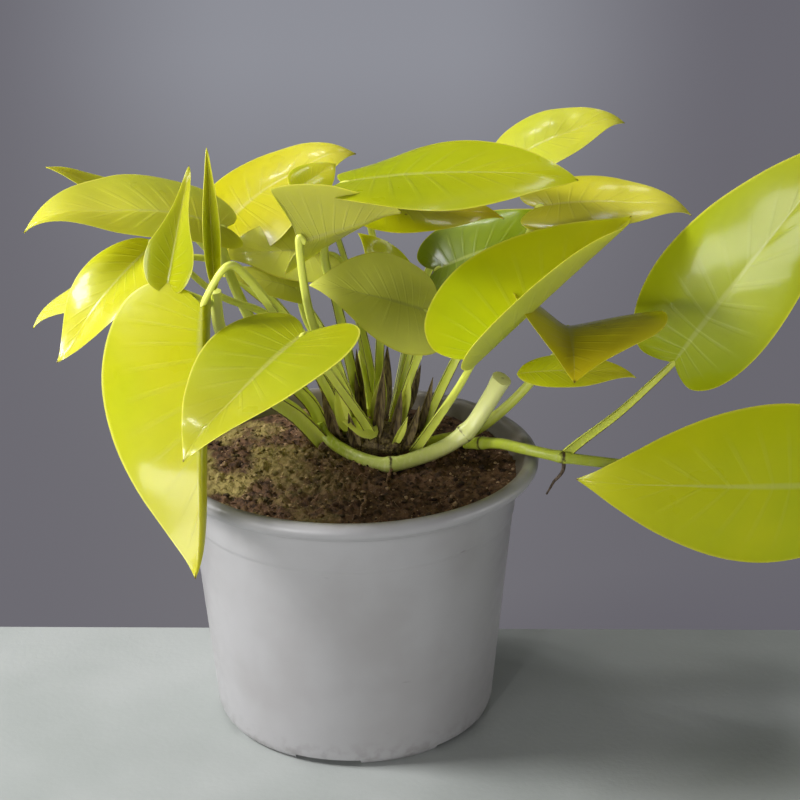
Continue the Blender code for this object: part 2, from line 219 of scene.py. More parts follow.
class Shading:
    """A material under construction, with short ways to add and join its nodes."""

    def __init__(self, name: str) -> None:
        """Start a material with a plain shader."""
        self.material = bpy.data.materials.new(name)
        self.material.use_nodes = True
        self.tree = self.material.node_tree
        self.shader = self.tree.nodes["Principled BSDF"]

    def node(self, kind: str, **settings: object) -> bpy.types.Node:
        """Add a node of a kind, with its settings.

        Args:
            kind: The node's type.
            **settings: Attributes to set on it.

        Returns:
            The new node.
        """
        made = self.tree.nodes.new(kind)
        for key, value in settings.items():
            setattr(made, key, value)
        return made

    def feed(self, socket: bpy.types.NodeSocket, value: object) -> None:
        """Give an input a link or a constant."""
        if isinstance(value, bpy.types.NodeSocket):
            self.tree.links.new(value, socket)
        elif isinstance(value, tuple) and socket.type == "RGBA":
            socket.default_value = (*value, 1.0)
        else:
            socket.default_value = value

    def sum(self, operation: str, a: object, b: object = 0.0) -> bpy.types.NodeSocket:
        """Return the result of a sum on two numbers."""
        made = self.node("ShaderNodeMath", operation=operation)
        self.feed(made.inputs[0], a)
        self.feed(made.inputs[1], b)
        return made.outputs[0]

    def fade(self, value: object, low: float, high: float, start: float = 0.0,
             end: float = 1.0) -> bpy.types.NodeSocket:
        """Map a number smoothly from low..high to start..end.

        Args:
            value: The number to map.
            low: The value that gives start.
            high: The value that gives end.
            start: The result at low.
            end: The result at high.

        Returns:
            The mapped number.
        """
        made = self.node("ShaderNodeMapRange", interpolation_type="SMOOTHSTEP")
        for socket, given in zip(made.inputs, (value, low, high, start, end)):
            self.feed(socket, given)
        return made.outputs[0]

    def mix(self, share: object, a: object, b: object) -> bpy.types.NodeSocket:
        """Return a colour that goes from a to b as share goes from 0 to 1."""
        made = self.node("ShaderNodeMix", data_type="RGBA")
        self.feed(made.inputs["Factor"], share)
        self.feed(made.inputs[6], a)
        self.feed(made.inputs[7], b)
        return made.outputs[2]

    def place(self, stretch: Point = (1.0, 1.0, 1.0)) -> bpy.types.NodeSocket:
        """Return the place on the object, stretched along its axes."""
        made = self.node("ShaderNodeMapping")
        made.inputs["Scale"].default_value = stretch
        self.tree.links.new(self.node("ShaderNodeTexCoord").outputs["Object"], made.inputs[0])
        return made.outputs[0]

    def cloud(self, scale: float, detail: float = 3.0,
              at: bpy.types.NodeSocket | None = None) -> bpy.types.NodeSocket:
        """Return cloudy noise from 0 to 1, with so many clouds a metre."""
        made = self.node("ShaderNodeTexNoise")
        made.inputs["Scale"].default_value = scale
        made.inputs["Detail"].default_value = detail
        self.tree.links.new(at or self.place(), made.inputs["Vector"])
        return made.outputs[0]

    def specks(self, scale: float, size: float, share: float) -> bpy.types.NodeSocket:
        """Return a mask of small round specks.

        Args:
            scale: How many cells there are to a metre.
            size: A speck's radius, as a part of its cell.
            share: The share of cells that keep their speck.

        Returns:
            The mask, 1 on a speck.
        """
        cells = self.node("ShaderNodeTexVoronoi")
        cells.inputs["Scale"].default_value = scale
        self.tree.links.new(self.place(), cells.inputs["Vector"])
        kept = self.sum("LESS_THAN", cells.outputs["Color"], share)
        return self.sum("MULTIPLY", self.fade(cells.outputs["Distance"], size, size / 2), kept)

    def stored(self, name: str) -> bpy.types.NodeSocket:
        """Return a number that is stored on the mesh."""
        return self.node("ShaderNodeAttribute", attribute_name=name).outputs["Fac"]

    def bump(self, height: object, depth: float, strength: float = 1.0) -> None:
        """Raise the surface by a height from 0 to 1, depth metres tall."""
        made = self.node("ShaderNodeBump")
        made.inputs["Strength"].default_value = strength
        made.inputs["Distance"].default_value = depth
        self.feed(made.inputs["Height"], height)
        self.tree.links.new(made.outputs[0], self.shader.inputs["Normal"])

    def set(self, **values: object) -> bpy.types.Material:
        """Set the shader's inputs, with _ for a space in their names.

        Args:
            **values: Links or constants, by input.

        Returns:
            The material.
        """
        for name, value in values.items():
            self.feed(self.shader.inputs[name.replace("_", " ")], value)
        return self.material


@dataclass(frozen=True)
class LeafFinish:
    """A waxy leaf: its tints, gloss, veins and blemishes, with painted shade, painted light and a
    painted highlight along the margins.
    """

    name: str
    body: Colour
    warm: Colour
    tip: Colour
    edge: Colour = (0.80, 0.76, 0.12)
    # The paler colour that some leaves are drawn towards: partly a paler tint, partly painted
    # light and sheen.
    pale_and_lit: Colour = (0.84, 0.86, 0.16)
    roughness: float = 0.27
    glow: float = 0.5
    vein_count: float = 15.0
    scorch: Colour = (0.10, 0.05, 0.015)

    def build(self, underside: bool) -> bpy.types.Material:
        """Make the material of one side of the leaf.

        Args:
            underside: True for the paler side with raised veins.

        Returns:
            The material.
        """
        made = Shading(self.name + ("_underside" if underside else "_upper"))
        along = made.stored("along")
        across = made.stored("across")
        patches = made.cloud(26.0, 4.0)
        tone = made.mix(made.fade(patches, 0.35, 0.68), self.body, self.warm)
        towards_tip = made.sum("MULTIPLY", made.fade(along, 0.35, 1.0), 0.75)
        tone = made.mix(towards_tip, tone, self.tip)
        # Painted shade and light: a leaf's stored value makes it darker or paler. Darker is partly
        # its own deeper green and partly painted shade on leaves in the shade of others. Paler is
        # partly a paler tint and partly painted light on shaded inner leaves and painted sheen on
        # glossy ones.
        dark = tuple(0.42 * c for c in self.body)
        tint_light_and_shade = made.stored("tint_light_and_shade")
        shaded = (0.8 * dark[0], dark[1], 2 * dark[2])
        tone = made.mix(made.sum("MAXIMUM", tint_light_and_shade, 0.0), tone, shaded)
        tone = made.mix(made.fade(tint_light_and_shade, 0.0, -1.0), tone, self.pale_and_lit)
        stripe = made.sum("SINE", made.sum("MULTIPLY", along, 2 * math.pi * self.vein_count))
        vein = made.fade(stripe, 0.72, 1.0)
        vein = made.sum("MULTIPLY", vein, made.fade(across, 0.96, 0.35))
        pale = tuple(min(0.85, 0.72 * c + 0.16) for c in self.warm)
        tone = made.mix(made.sum("MULTIPLY", vein, 0.20 if underside else 0.06), tone, pale)
        midrib = made.fade(across, 0.055, 0.012)
        tone = made.mix(made.sum("MULTIPLY", midrib, 0.7 if underside else 0.4), tone, pale)
        if underside:
            chalk = tuple(0.75 * c + 0.15 for c in self.warm)
            tone = made.mix(0.5, tone, chalk)
        # Painted highlight: a pale line along the margins, where the thin edge catches the light.
        margin = made.sum("MULTIPLY", made.fade(across, 0.965, 0.995), 0.65)
        tone = made.mix(margin, tone, self.edge)
        spots = made.specks(160.0, 0.11, 0.07)
        burnt = made.fade(along, 0.985, 0.998)
        marks = made.sum("MAXIMUM", made.sum("MULTIPLY", spots, 0.6), burnt)
        tone = made.mix(marks, tone, self.scorch)
        grain = made.cloud(900.0, 2.0)
        relief = made.sum("ADD", made.sum("MULTIPLY", vein, 0.8),
                          made.sum("MULTIPLY", grain, 0.25))
        made.bump(relief, 0.00014 if underside else 0.00008, 0.8)
        low = self.roughness + (0.16 if underside else 0.0)
        shine = made.fade(made.cloud(60.0, 3.0), 0.3, 0.7, low, low + 0.12)
        return made.set(Base_Color=tone, Roughness=shine, Subsurface_Weight=self.glow,
                        Subsurface_Radius=(1.0, 1.0, 0.15), Subsurface_Scale=0.0015,
                        Coat_Weight=0.05 if underside else 0.25, Coat_Roughness=0.12,
                        Specular_IOR_Level=0.14)


@dataclass(frozen=True)
class StalkFinish:
    """Smooth green living stalk, with brown papery margins and scars."""

    name: str
    foot: Colour
    top: Colour
    scar: Colour = (0.055, 0.030, 0.014)
    roughness: float = 0.38

    def build(self) -> bpy.types.Material:
        """Make the material, which reads along and scar from the mesh."""
        made = Shading(self.name)
        tone = made.mix(made.fade(made.stored("along"), 0.0, 1.0), self.foot, self.top)
        streaks = made.cloud(1.0, 4.0, made.place((900.0, 900.0, 90.0)))
        light = tuple(min(0.8, 0.8 * c + 0.12) for c in self.top)
        tone = made.mix(made.fade(streaks, 0.45, 0.75, 0.0, 0.45), tone, light)
        ragged = made.sum("ADD", made.stored("scar"), made.sum(
            "MULTIPLY", made.sum("SUBTRACT", made.cloud(420.0, 3.0), 0.5), 0.7))
        tone = made.mix(made.fade(ragged, 0.35, 0.6), tone, self.scar)
        tone = made.mix(made.sum("MULTIPLY", made.specks(240.0, 0.16, 0.05), 0.7), tone, self.scar)
        made.bump(streaks, 0.00012, 0.6)
        return made.set(Base_Color=tone, Roughness=self.roughness, Subsurface_Weight=0.2,
                        Subsurface_Radius=(1.0, 1.0, 0.3), Subsurface_Scale=0.0015,
                        Coat_Weight=0.1, Coat_Roughness=0.25)


@dataclass(frozen=True)
class DryFinish:
    """Dry brown papery or woody plant matter."""

    name: str
    dark: Colour
    light: Colour

    def build(self) -> bpy.types.Material:
        """Make the material, streaked dark and light."""
        made = Shading(self.name)
        streaks = made.cloud(1.0, 4.0, made.place((1400.0, 1400.0, 220.0)))
        tone = made.mix(made.fade(streaks, 0.3, 0.7), self.dark, self.light)
        made.bump(streaks, 0.0002)
        return made.set(Base_Color=tone, Roughness=0.75)


@dataclass(frozen=True)
class SoilFinish:
    """Loose potting soil: dark crumbs, tan fibres and an olive tinge to the left, partly the
    soil's own green and partly painted light on its lit side.
    """

    name: str
    dark: Colour = (0.035, 0.018, 0.010)
    brown: Colour = (0.150, 0.078, 0.040)
    tan: Colour = (0.48, 0.32, 0.18)
    moss_and_light: Colour = (0.50, 0.41, 0.13)

    def build(self, each: bool = False) -> bpy.types.Material:
        """Make the material.

        Args:
            each: True to give each loose crumb a tone of its own.

        Returns:
            The material.
        """
        made = Shading(self.name)
        if each:
            chance = made.node("ShaderNodeNewGeometry").outputs["Random Per Island"]
        else:
            chance = made.cloud(420.0, 5.0)
        tone = made.mix(made.fade(chance, 0.30, 0.62), self.dark, self.brown)
        tone = made.mix(made.fade(chance, 0.62, 0.9, 0.0, 0.9), tone, self.tan)
        # Painted light, partly the soil's own olive green: the left side is paler and greener.
        side = made.node("ShaderNodeSeparateXYZ")
        made.tree.links.new(made.place(), side.inputs[0])
        moss_and_light_share = made.sum("MULTIPLY", made.fade(side.outputs["X"], 0.012, -0.045),
                         made.fade(made.cloud(75.0, 3.0), 0.4, 0.6))
        tone = made.mix(made.sum("MULTIPLY", moss_and_light_share, 0.6), tone, self.moss_and_light)
        made.bump(made.cloud(1300.0, 4.0), 0.0006)
        return made.set(Base_Color=tone, Roughness=0.85, Specular_IOR_Level=0.35)


@dataclass(frozen=True)
class PotFinish:
    """Satin grey moulded plastic with a few scuffs and specks of soil, and painted shade over the
    lip and inside the rim, partly soil staining.
    """

    name: str = "grey_plastic"
    body: Colour = (0.365, 0.358, 0.365)
    worn: Colour = (0.290, 0.278, 0.277)
    dirt: Colour = (0.10, 0.085, 0.07)
    rim_shade_and_stain: Colour = (0.115, 0.092, 0.060)
    roughness: float = 0.36

    def build(self) -> bpy.types.Material:
        """Make the material."""
        made = Shading(self.name)
        wear = made.fade(made.cloud(30.0, 3.0), 0.35, 0.7, 0.0, 0.6)
        tone = made.mix(wear, self.body, self.worn)
        streaks = made.cloud(1.0, 5.0, made.place((160.0, 160.0, 700.0)))
        gate = made.fade(made.cloud(55.0, 2.0), 0.60, 0.72)
        scuffs = made.sum("MULTIPLY", made.fade(streaks, 0.66, 0.74), gate)
        tone = made.mix(made.sum("MULTIPLY", scuffs, 0.45), tone, self.dirt)
        spots = made.sum("MAXIMUM", made.specks(170.0, 0.10, 0.035),
                         made.specks(420.0, 0.12, 0.02))
        tone = made.mix(made.sum("MULTIPLY", spots, 0.75), tone, self.dirt)
        height = made.node("ShaderNodeSeparateXYZ")
        made.tree.links.new(made.place(), height.inputs[0])
        ragged = made.sum("MULTIPLY", made.cloud(90.0, 5.0), 0.7)
        # Painted shade, partly soil staining: darkens the top of the lip and the inside of the
        # rim.
        lip = made.sum("ADD", made.stored("inner"), made.sum("SUBTRACT", ragged, 0.35))
        tone = made.mix(made.fade(lip, 0.25, 1.0, 0.0, 0.85), tone, self.rim_shade_and_stain)
        foot = made.sum("MULTIPLY", made.fade(height.outputs["Z"], 0.012, 0.0),
                        made.fade(made.cloud(240.0, 4.0), 0.45, 0.65))
        tone = made.mix(made.sum("MULTIPLY", foot, 0.35), tone, self.dirt)
        shine = made.fade(made.cloud(140.0, 4.0), 0.3, 0.7, self.roughness - 0.05,
                          self.roughness + 0.08)
        made.bump(made.cloud(1600.0, 2.0), 0.00004, 0.5)
        return made.set(Base_Color=tone, Roughness=shine, Subsurface_Weight=0.12,
                        Subsurface_Radius=(1.0, 1.0, 1.0), Subsurface_Scale=0.002,
                        Specular_IOR_Level=0.5)


LEMON = LeafFinish("lemon_leaf", (0.42, 0.455, 0.004), (0.50, 0.485, 0.006), (0.62, 0.57, 0.04))
YELLOW = LeafFinish("yellow_leaf", (0.51, 0.465, 0.003), (0.58, 0.515, 0.004), (0.72, 0.66, 0.08))
GREEN = LeafFinish("green_leaf", (0.42, 0.48, 0.003), (0.50, 0.53, 0.004), (0.54, 0.52, 0.008),
                   edge=(0.66, 0.62, 0.06))
OLIVE = LeafFinish("olive_leaf", (0.42, 0.44, 0.004), (0.54, 0.49, 0.005), (0.66, 0.52, 0.010),
                   edge=(0.60, 0.50, 0.03))
LEAF_FINISHES = {Slot.LEMON: LEMON, Slot.YELLOW: YELLOW, Slot.GREEN: GREEN, Slot.OLIVE: OLIVE}
PETIOLE = StalkFinish("green_petiole", (0.68, 0.76, 0.10), (0.80, 0.84, 0.14))
PALE_STEM = StalkFinish("pale_lime_stem", (0.44, 0.54, 0.03), (0.84, 0.86, 0.34))
VINE = StalkFinish("vine_stem", (0.42, 0.50, 0.04), (0.44, 0.48, 0.06))
ROOTS = DryFinish("dry_root", (0.10, 0.05, 0.025), (0.36, 0.20, 0.11))
BARK = DryFinish("dark_root", (0.030, 0.020, 0.012), (0.15, 0.10, 0.06))
SHEATHS = DryFinish("dry_sheath", (0.055, 0.033, 0.017), (0.27, 0.20, 0.08))


# ------------------------------------------------------------------------------------ leaves


# How many short steps a half's fold and curl are added up over.
FOLD_STEPS = 16

# Brings the hook's curve, n * n * (1 - n), to a height of 1 at its highest.
HOOK_SCALE = 6.75


@dataclass
class Leaf:
    """One leaf: where it is, how it is folded and curled, and how it is finished.

    Attributes:
        name: The plain node that it stands for.
        base: Where the petiole meets the blade.
        tip: The blade's tip.
        faces: The way that the upper side faces.
        width: The flat blade's width.
        arch: How far the midrib rises above the line from base to tip.
        bow: How far the midrib bends to its right.
        left: How far the left half folds up along the midrib, in degrees; right is the same.
        curl: How far each half curls down again towards its margin, in degrees.
        twist: How far the blade turns round its midrib by its tip, in degrees.
        skew: How much narrower the right half is than the left, as a part of the half width.
        slot: The record's slot.
        outline: The half outline.
        hook: How far the last part of the midrib lifts before it turns down to the tip.
        wave: The height of the ripples at the margin.
        waves: How many ripples there are from base to tip.
        tint_light_and_shade: From 0 to 1 darker, partly a deeper green and partly painted shade;
            from 0 to -1 paler, partly a paler tint and partly painted light.
        rows: How many faces there are from base to tip.
        half_columns: How many faces there are across each half.
        thickness: The blade's thickness.
        groove: How far the midrib's groove sinks into the upper side.
        rib: How far the midrib stands out from the underside.
        vein_relief: The height of the pillows between veins.
        veins: How many veins each half has.
        vein_sweep: How strongly the veins sweep towards the tip.
        crease: How wide the fold at the midrib is, as a part of the half width.
        full_width: The width from which ribs and ripples have their full size.
        ripple_shift: How far the right half's ripples run ahead, in radians.
        hook_start: Where along the midrib the hook begins.
    """

    name: str
    base: Point
    tip: Point
    faces: Point
    width: float
    arch: float = 0.0
    bow: float = 0.0
    left: float = 10.0
    right: float = 10.0
    curl: float = 20.0
    twist: float = 0.0
    skew: float = 0.0
    slot: Slot = Slot.LEMON
    outline: Outline = HEART
    hook: float = 1.5
    wave: float = 0.7
    waves: float = 2.0
    tint_light_and_shade: float = 0.0
    rows: int = 48
    half_columns: int = 14
    thickness: float = 0.5
    groove: float = 0.22
    rib: float = 0.55
    vein_relief: float = 0.05
    veins: float = 15.0
    vein_sweep: float = 2.2
    crease: float = 0.07
    full_width: float = 40.0
    ripple_shift: float = 1.1
    hook_start: float = 0.55

    def size(self) -> float:
        """Return how large the leaf's ribs and ripples are, up to 1 on a full sized leaf."""
        return min(1.0, self.width / self.full_width)

    def setting(self) -> tuple[Array, Array, Array, Array]:
        """Return the base, the chord to the tip, the upper side's normal and the arch."""
        base = np.array(self.base, float) * MM
        chord = np.array(self.tip, float) * MM - base
        along = unit(chord)
        faces = np.array(self.faces, float)
        normal = unit(faces - along * (faces @ along))
        side = np.cross(along, normal)
        return base, chord, normal, (normal * self.arch + side * self.bow) * MM

    def midrib(self, x: Array) -> tuple[Array, Array, Array, Array]:
        """Follow the midrib.

        Args:
            x: Places from the base 0 to the tip 1, below 0 in the lobes.

        Returns:
            The midrib's points, and there the directions along it, to its right, and up.
        """
        base, chord, normal, rise = self.setting()
        inside = np.maximum(x, 0.0)[..., None]
        direction = chord + rise * (4 - 8 * inside)
        point = base + chord * inside + rise * 4 * inside * (1 - inside)
        point = point + direction * (x[..., None] - inside)
        along = unit(direction)
        side = unit(np.cross(along, normal))
        up = np.cross(side, along)
        turn = np.radians(self.twist * x)[..., None]
        out = side * np.cos(turn) + up * np.sin(turn)
        up = up * np.cos(turn) - side * np.sin(turn)
        near_tip = np.clip((x - self.hook_start) / (1 - self.hook_start), 0.0, 1.0)[..., None]
        point = point + up * (self.hook * MM * HOOK_SCALE * near_tip ** 2 * (1 - near_tip))
        return point, along, out, up

    def surface(self, x: Array, y: Array, place: Array) -> Array:
        """Lay flat places on the curved blade.

        Args:
            x: Places along the midrib.
            y: Places across, in half widths, to the right.
            place: How far each place's vein is from the base 0 to the tip 1.

        Returns:
            The points, in metres.
        """
        point, _, out, up = self.midrib(x)
        sign = np.sign(y)
        half = self.width / 2 * MM * (1 - self.skew * sign)
        fold = np.radians(np.where(y > 0, self.right, self.left))
        rate = math.radians(self.curl) / half
        distance = np.abs(y) * half
        soft = self.crease * half
        across = np.zeros_like(distance)
        raised = np.zeros_like(distance)
        for step in range(FOLD_STEPS):
            at = distance * (step + 0.5) / FOLD_STEPS
            angle = fold * (1 - np.exp(-at / soft)) - rate * at
            across += np.cos(angle) * distance / FOLD_STEPS
            raised += np.sin(angle) * distance / FOLD_STEPS
        phase = 2 * math.pi * self.waves * place + sign * self.ripple_shift + len(self.name)
        swing = np.sin(phase) * np.sqrt(np.sin(math.pi * place) + 1e-9)
        raised += self.wave * self.size() * MM * y ** 2 * swing
        return point + out * (sign * across)[..., None] + up * raised[..., None]

    def grid(self) -> tuple[Array, Array, Array, Array]:
        """Return the blade's points, and how far each is along, across and along its vein."""
        place = np.linspace(0.0, 1.0, self.rows + 1)
        outline = np.array([(x, y, 0.0) for x, y in self.outline])
        margin = smooth_path(outline, place)
        vein = place ** self.vein_sweep
        columns = np.linspace(-1.0, 1.0, 2 * self.half_columns + 1)
        x = vein[:, None] + (margin[:, 0] - vein)[:, None] * np.abs(columns)
        y = np.maximum(margin[:, 1], 0.0)[:, None] * columns
        places = np.broadcast_to(place[:, None], x.shape)
        return self.surface(x, y, places), places, np.abs(columns) + 0 * x, y

    def build(self) -> bpy.types.Object:
        """Model the leaf as a thin closed blade with a grooved midrib and raised veins.

        Returns:
            The finished piece.
        """
        points, places, across, y = self.grid()
        rows, columns = across.shape
        normals = unit(np.cross(np.gradient(points, axis=1), np.gradient(points, axis=0)))
        middle = self.half_columns
        normals[0] = normals[1, middle]
        normals[-1] = normals[-2, middle]
        distance = np.abs(y) * self.width / 2
        blend = ramp(across, 0.0, 0.25) * ramp(across, 1.0, 0.8) * np.sin(math.pi * places)
        half = self.thickness / 2 * (1 - 0.7 * across ** 6)
        size = self.size()
        relief = size ** 2 * self.vein_relief * blend * np.cos(2 * math.pi * self.veins * places)
        fading = (1 - places) ** 0.7
        dip = self.groove * size * bell(distance, 0.9) * fading
        rib = self.rib * size * bell(distance, 0.8 * size) * fading
        upper = points + normals * (half + relief - dip)[..., None] * MM
        lower = points - normals * (half - relief + rib)[..., None] * MM
        count = rows * columns
        index = np.arange(count).reshape(rows, columns)
        index[0] = index[0, middle]
        index[-1] = index[-1, middle]
        faces: list[tuple[int, ...]] = []
        sides: list[int] = []
        for shift, side in ((0, 0), (count, 1)):
            for row in range(rows - 1):
                for column in range(columns - 1):
                    corners = (index[row, column], index[row, column + 1],
                               index[row + 1, column + 1], index[row + 1, column])
                    faces.append(tuple(dict.fromkeys(int(c) + shift for c in corners)))
                    sides.append(side)
        for column in (0, columns - 1):
            for row in range(rows - 1):
                low, high = int(index[row, column]), int(index[row + 1, column])
                faces.append((low, high, high + count, low + count))
                sides.append(1)
        used = sorted({corner for face in faces for corner in face})
        renumber = {old: new for new, old in enumerate(used)}
        everything = np.concatenate([upper.reshape(-1, 3), lower.reshape(-1, 3)])[used]
        faces = [tuple(renumber[corner] for corner in face) for face in faces]
        piece = mesh_piece(self.name + "_blade", everything, faces, self.finishes())
        piece.data.polygons.foreach_set("material_index", sides)
        doubled = [np.concatenate([values.ravel()] * 2)[used] for values in (places, across)]
        add_floats(piece.data, "along", doubled[0])
        add_floats(piece.data, "across", doubled[1])
        add_floats(piece.data, "tint_light_and_shade", 0 * doubled[0] + self.tint_light_and_shade)
        add_floats(piece.data, "scar", 0 * doubled[0])
        place_piece(piece, self.slot, self.stands_for())
        return piece

    def finishes(self) -> list[bpy.types.Material]:
        """Return the materials of its upper side and underside."""
        finish = LEAF_FINISHES[self.slot]
        return [LEAF_MATERIALS[finish.name, side] for side in (False, True)]

    def stands_for(self) -> tuple[str, ...]:
        """Return the plain nodes that the leaf stands for."""
        return (self.name,)


# The leaf finishes' materials, by finish and by whether they are for the underside.
LEAF_MATERIALS: dict[tuple[str, bool], bpy.types.Material] = {}

# The leaves, from the left of the plant to its right.
LEAVES = (
    Leaf("leaf_front_left_hanging", (-45, -36, 157), (-48, -68, 80), (-0.35, -0.9, 0.1), 47,
         arch=4, bow=-2, left=-100, right=10, curl=20, skew=-0.45, hook=-1.5, waves=1.5,
         tint_light_and_shade=0.12),
    Leaf("leaf_front_left", (-14, -38, 148), (-48, -88, 127), (-0.1, -0.4, 0.9), 47,
         arch=3, left=25, right=5, curl=10, skew=0.06, waves=1.5, tint_light_and_shade=0.35),
    Leaf("leaf_left_low", (-61, -5, 168), (-92, -25, 135), (-0.3, -0.6, 0.7), 27, arch=3,
         left=25, outline=LANCE, hook=-1.5),
    Leaf("leaf_left_low_back", (-68, 11, 156), (-103, 0, 138), (-0.3, -0.2, 1.0), 20, arch=1,
         outline=LANCE, tint_light_and_shade=-0.5),
    Leaf("leaf_left_upper", (-40, 8, 169), (-101, -14, 174), (-0.1, -0.32, 1.0), 34, arch=7,
         left=-30, right=12, skew=-0.45, hook=3.0, wave=0.8, waves=2.5, vein_relief=0.16,
         tint_light_and_shade=-0.3),
    Leaf("leaf_left_young", (-56, -29, 160), (-48, -23, 197), (-0.2, -0.9, 0.2), 17,
         left=30, right=35, outline=SPADE, wave=0.3, hook=-1.0, tint_light_and_shade=0.25),
    Leaf("leaf_left_spear", (-42, -22, 157), (-43, -16, 201), (0.1, -1.0, 0.1), 10,
         left=72, right=72, outline=LANCE, wave=0.2, tint_light_and_shade=0.25),
    Leaf("leaf_left_back", (-66, 30, 171), (-98, 18, 187), (-0.1, -0.3, 0.9), 15, arch=0,
         outline=LANCE, hook=0.5),
    Leaf("leaf_centre", (26, 8, 139), (-13, -12, 155), (-0.2, -0.7, 0.7), 37, arch=2,
         slot=Slot.GREEN, tint_light_and_shade=-0.8),
    Leaf("leaf_yellow_upper", (-44, 39, 159), (3, 52, 182), (-0.4, -0.6, 0.7), 44, arch=4,
         bow=-3, left=0, right=20, skew=-0.1, slot=Slot.YELLOW, hook=2.5, tint_light_and_shade=0.15),
    Leaf("leaf_small_upper", (-18, 22, 177), (-4, 38, 182), (0.0, -0.7, 0.7), 14,
         outline=LANCE, wave=0.2, hook=0.5),
    Leaf("leaf_top", (-2, 9, 183), (73, -4, 186), (0.0, -0.12, 1.0), 50, arch=3, left=0,
         right=15, twist=-30, slot=Slot.GREEN, wave=1.0, outline=OVAL, hook=0.5, tint_light_and_shade=0.25),
    Leaf("leaf_under_top", (-16, -8, 168), (17, -3, 176), (0.0, 1.0, 0.15), 43, arch=1, left=60,
         right=0, twist=-20, tint_light_and_shade=-0.3, outline=FUNNEL),
    Leaf("leaf_behind_right", (30, 42, 143), (82, 38, 160), (0.0, -0.6, 0.8), 34, arch=3,
         slot=Slot.GREEN, tint_light_and_shade=0.9),
    Leaf("leaf_narrow_inner", (22, 25, 138), (3, 20, 163), (0.5, -0.8, 0.3), 16,
         slot=Slot.GREEN, outline=LANCE, wave=0.3),
    Leaf("leaf_front_right", (39, -28, 135), (91, 0, 173), (-0.2, -0.85, 0.45), 52,
         arch=1, left=0, right=100, curl=10, slot=Slot.GREEN, wave=0.8, hook=0.0, tint_light_and_shade=0.0),
    Leaf("leaf_curled_right", (71, -3, 137), (69, -40, 131), (0.0, -0.2, 1.0), 54,
         arch=5, left=14, right=42, curl=8, skew=0.15, slot=Slot.OLIVE, outline=SHIELD),
    Leaf("leaf_vine_upper", (108, 5, 121), (161, -5, 202), (-0.3, -0.9, 0.3), 46,
         arch=5, left=5, right=5, skew=0.1, slot=Slot.GREEN, wave=1.0, waves=1.5,
         outline=OVAL, tint_light_and_shade=0.4),
    Leaf("leaf_stem_end", (55, 0, 119.5), (94, -4, 119), (0.0, -0.6, 0.8), 13, arch=3,
         outline=LANCE, wave=0.4),
    Leaf("leaf_vine_lower", (162, -14, 84), (73, -20, 90), (0.0, -1.0, 0.1), 56,
         arch=5, left=5, right=5, slot=Slot.GREEN, wave=1.0, waves=1.5, tint_light_and_shade=0.05),
    Leaf("leaf_middle_left", (-8, 29, 154), (-42, 14, 156), (-0.1, -0.55, 0.8), 30, arch=2,
         slot=Slot.OLIVE, tint_light_and_shade=-0.7),
    Leaf("leaf_inner_left", (-17, 24, 142), (-44, 17, 149), (0.0, -0.4, 0.9), 16, arch=2,
         wave=0.4, tint_light_and_shade=-0.7),
    Leaf("leaf_olive_middle", (6, 22, 171), (52, 24, 166), (0.0, -0.4, 0.9), 24, arch=1,
         slot=Slot.OLIVE),
    Leaf("leaf_right_pointing", (62, 16, 172), (113, 14, 169), (0.0, -0.4, 0.9), 29, arch=4,
         slot=Slot.YELLOW, hook=2.0, tint_light_and_shade=-0.2),
    Leaf("leaf_top_back", (54, 52, 177), (96, 55, 191), (-0.3, -0.5, 0.8), 30, arch=5, right=20,
         hook=2.0, outline=OVAL, tint_light_and_shade=-0.3),
)


# ----------------------------------------------------------------------- petioles and stems


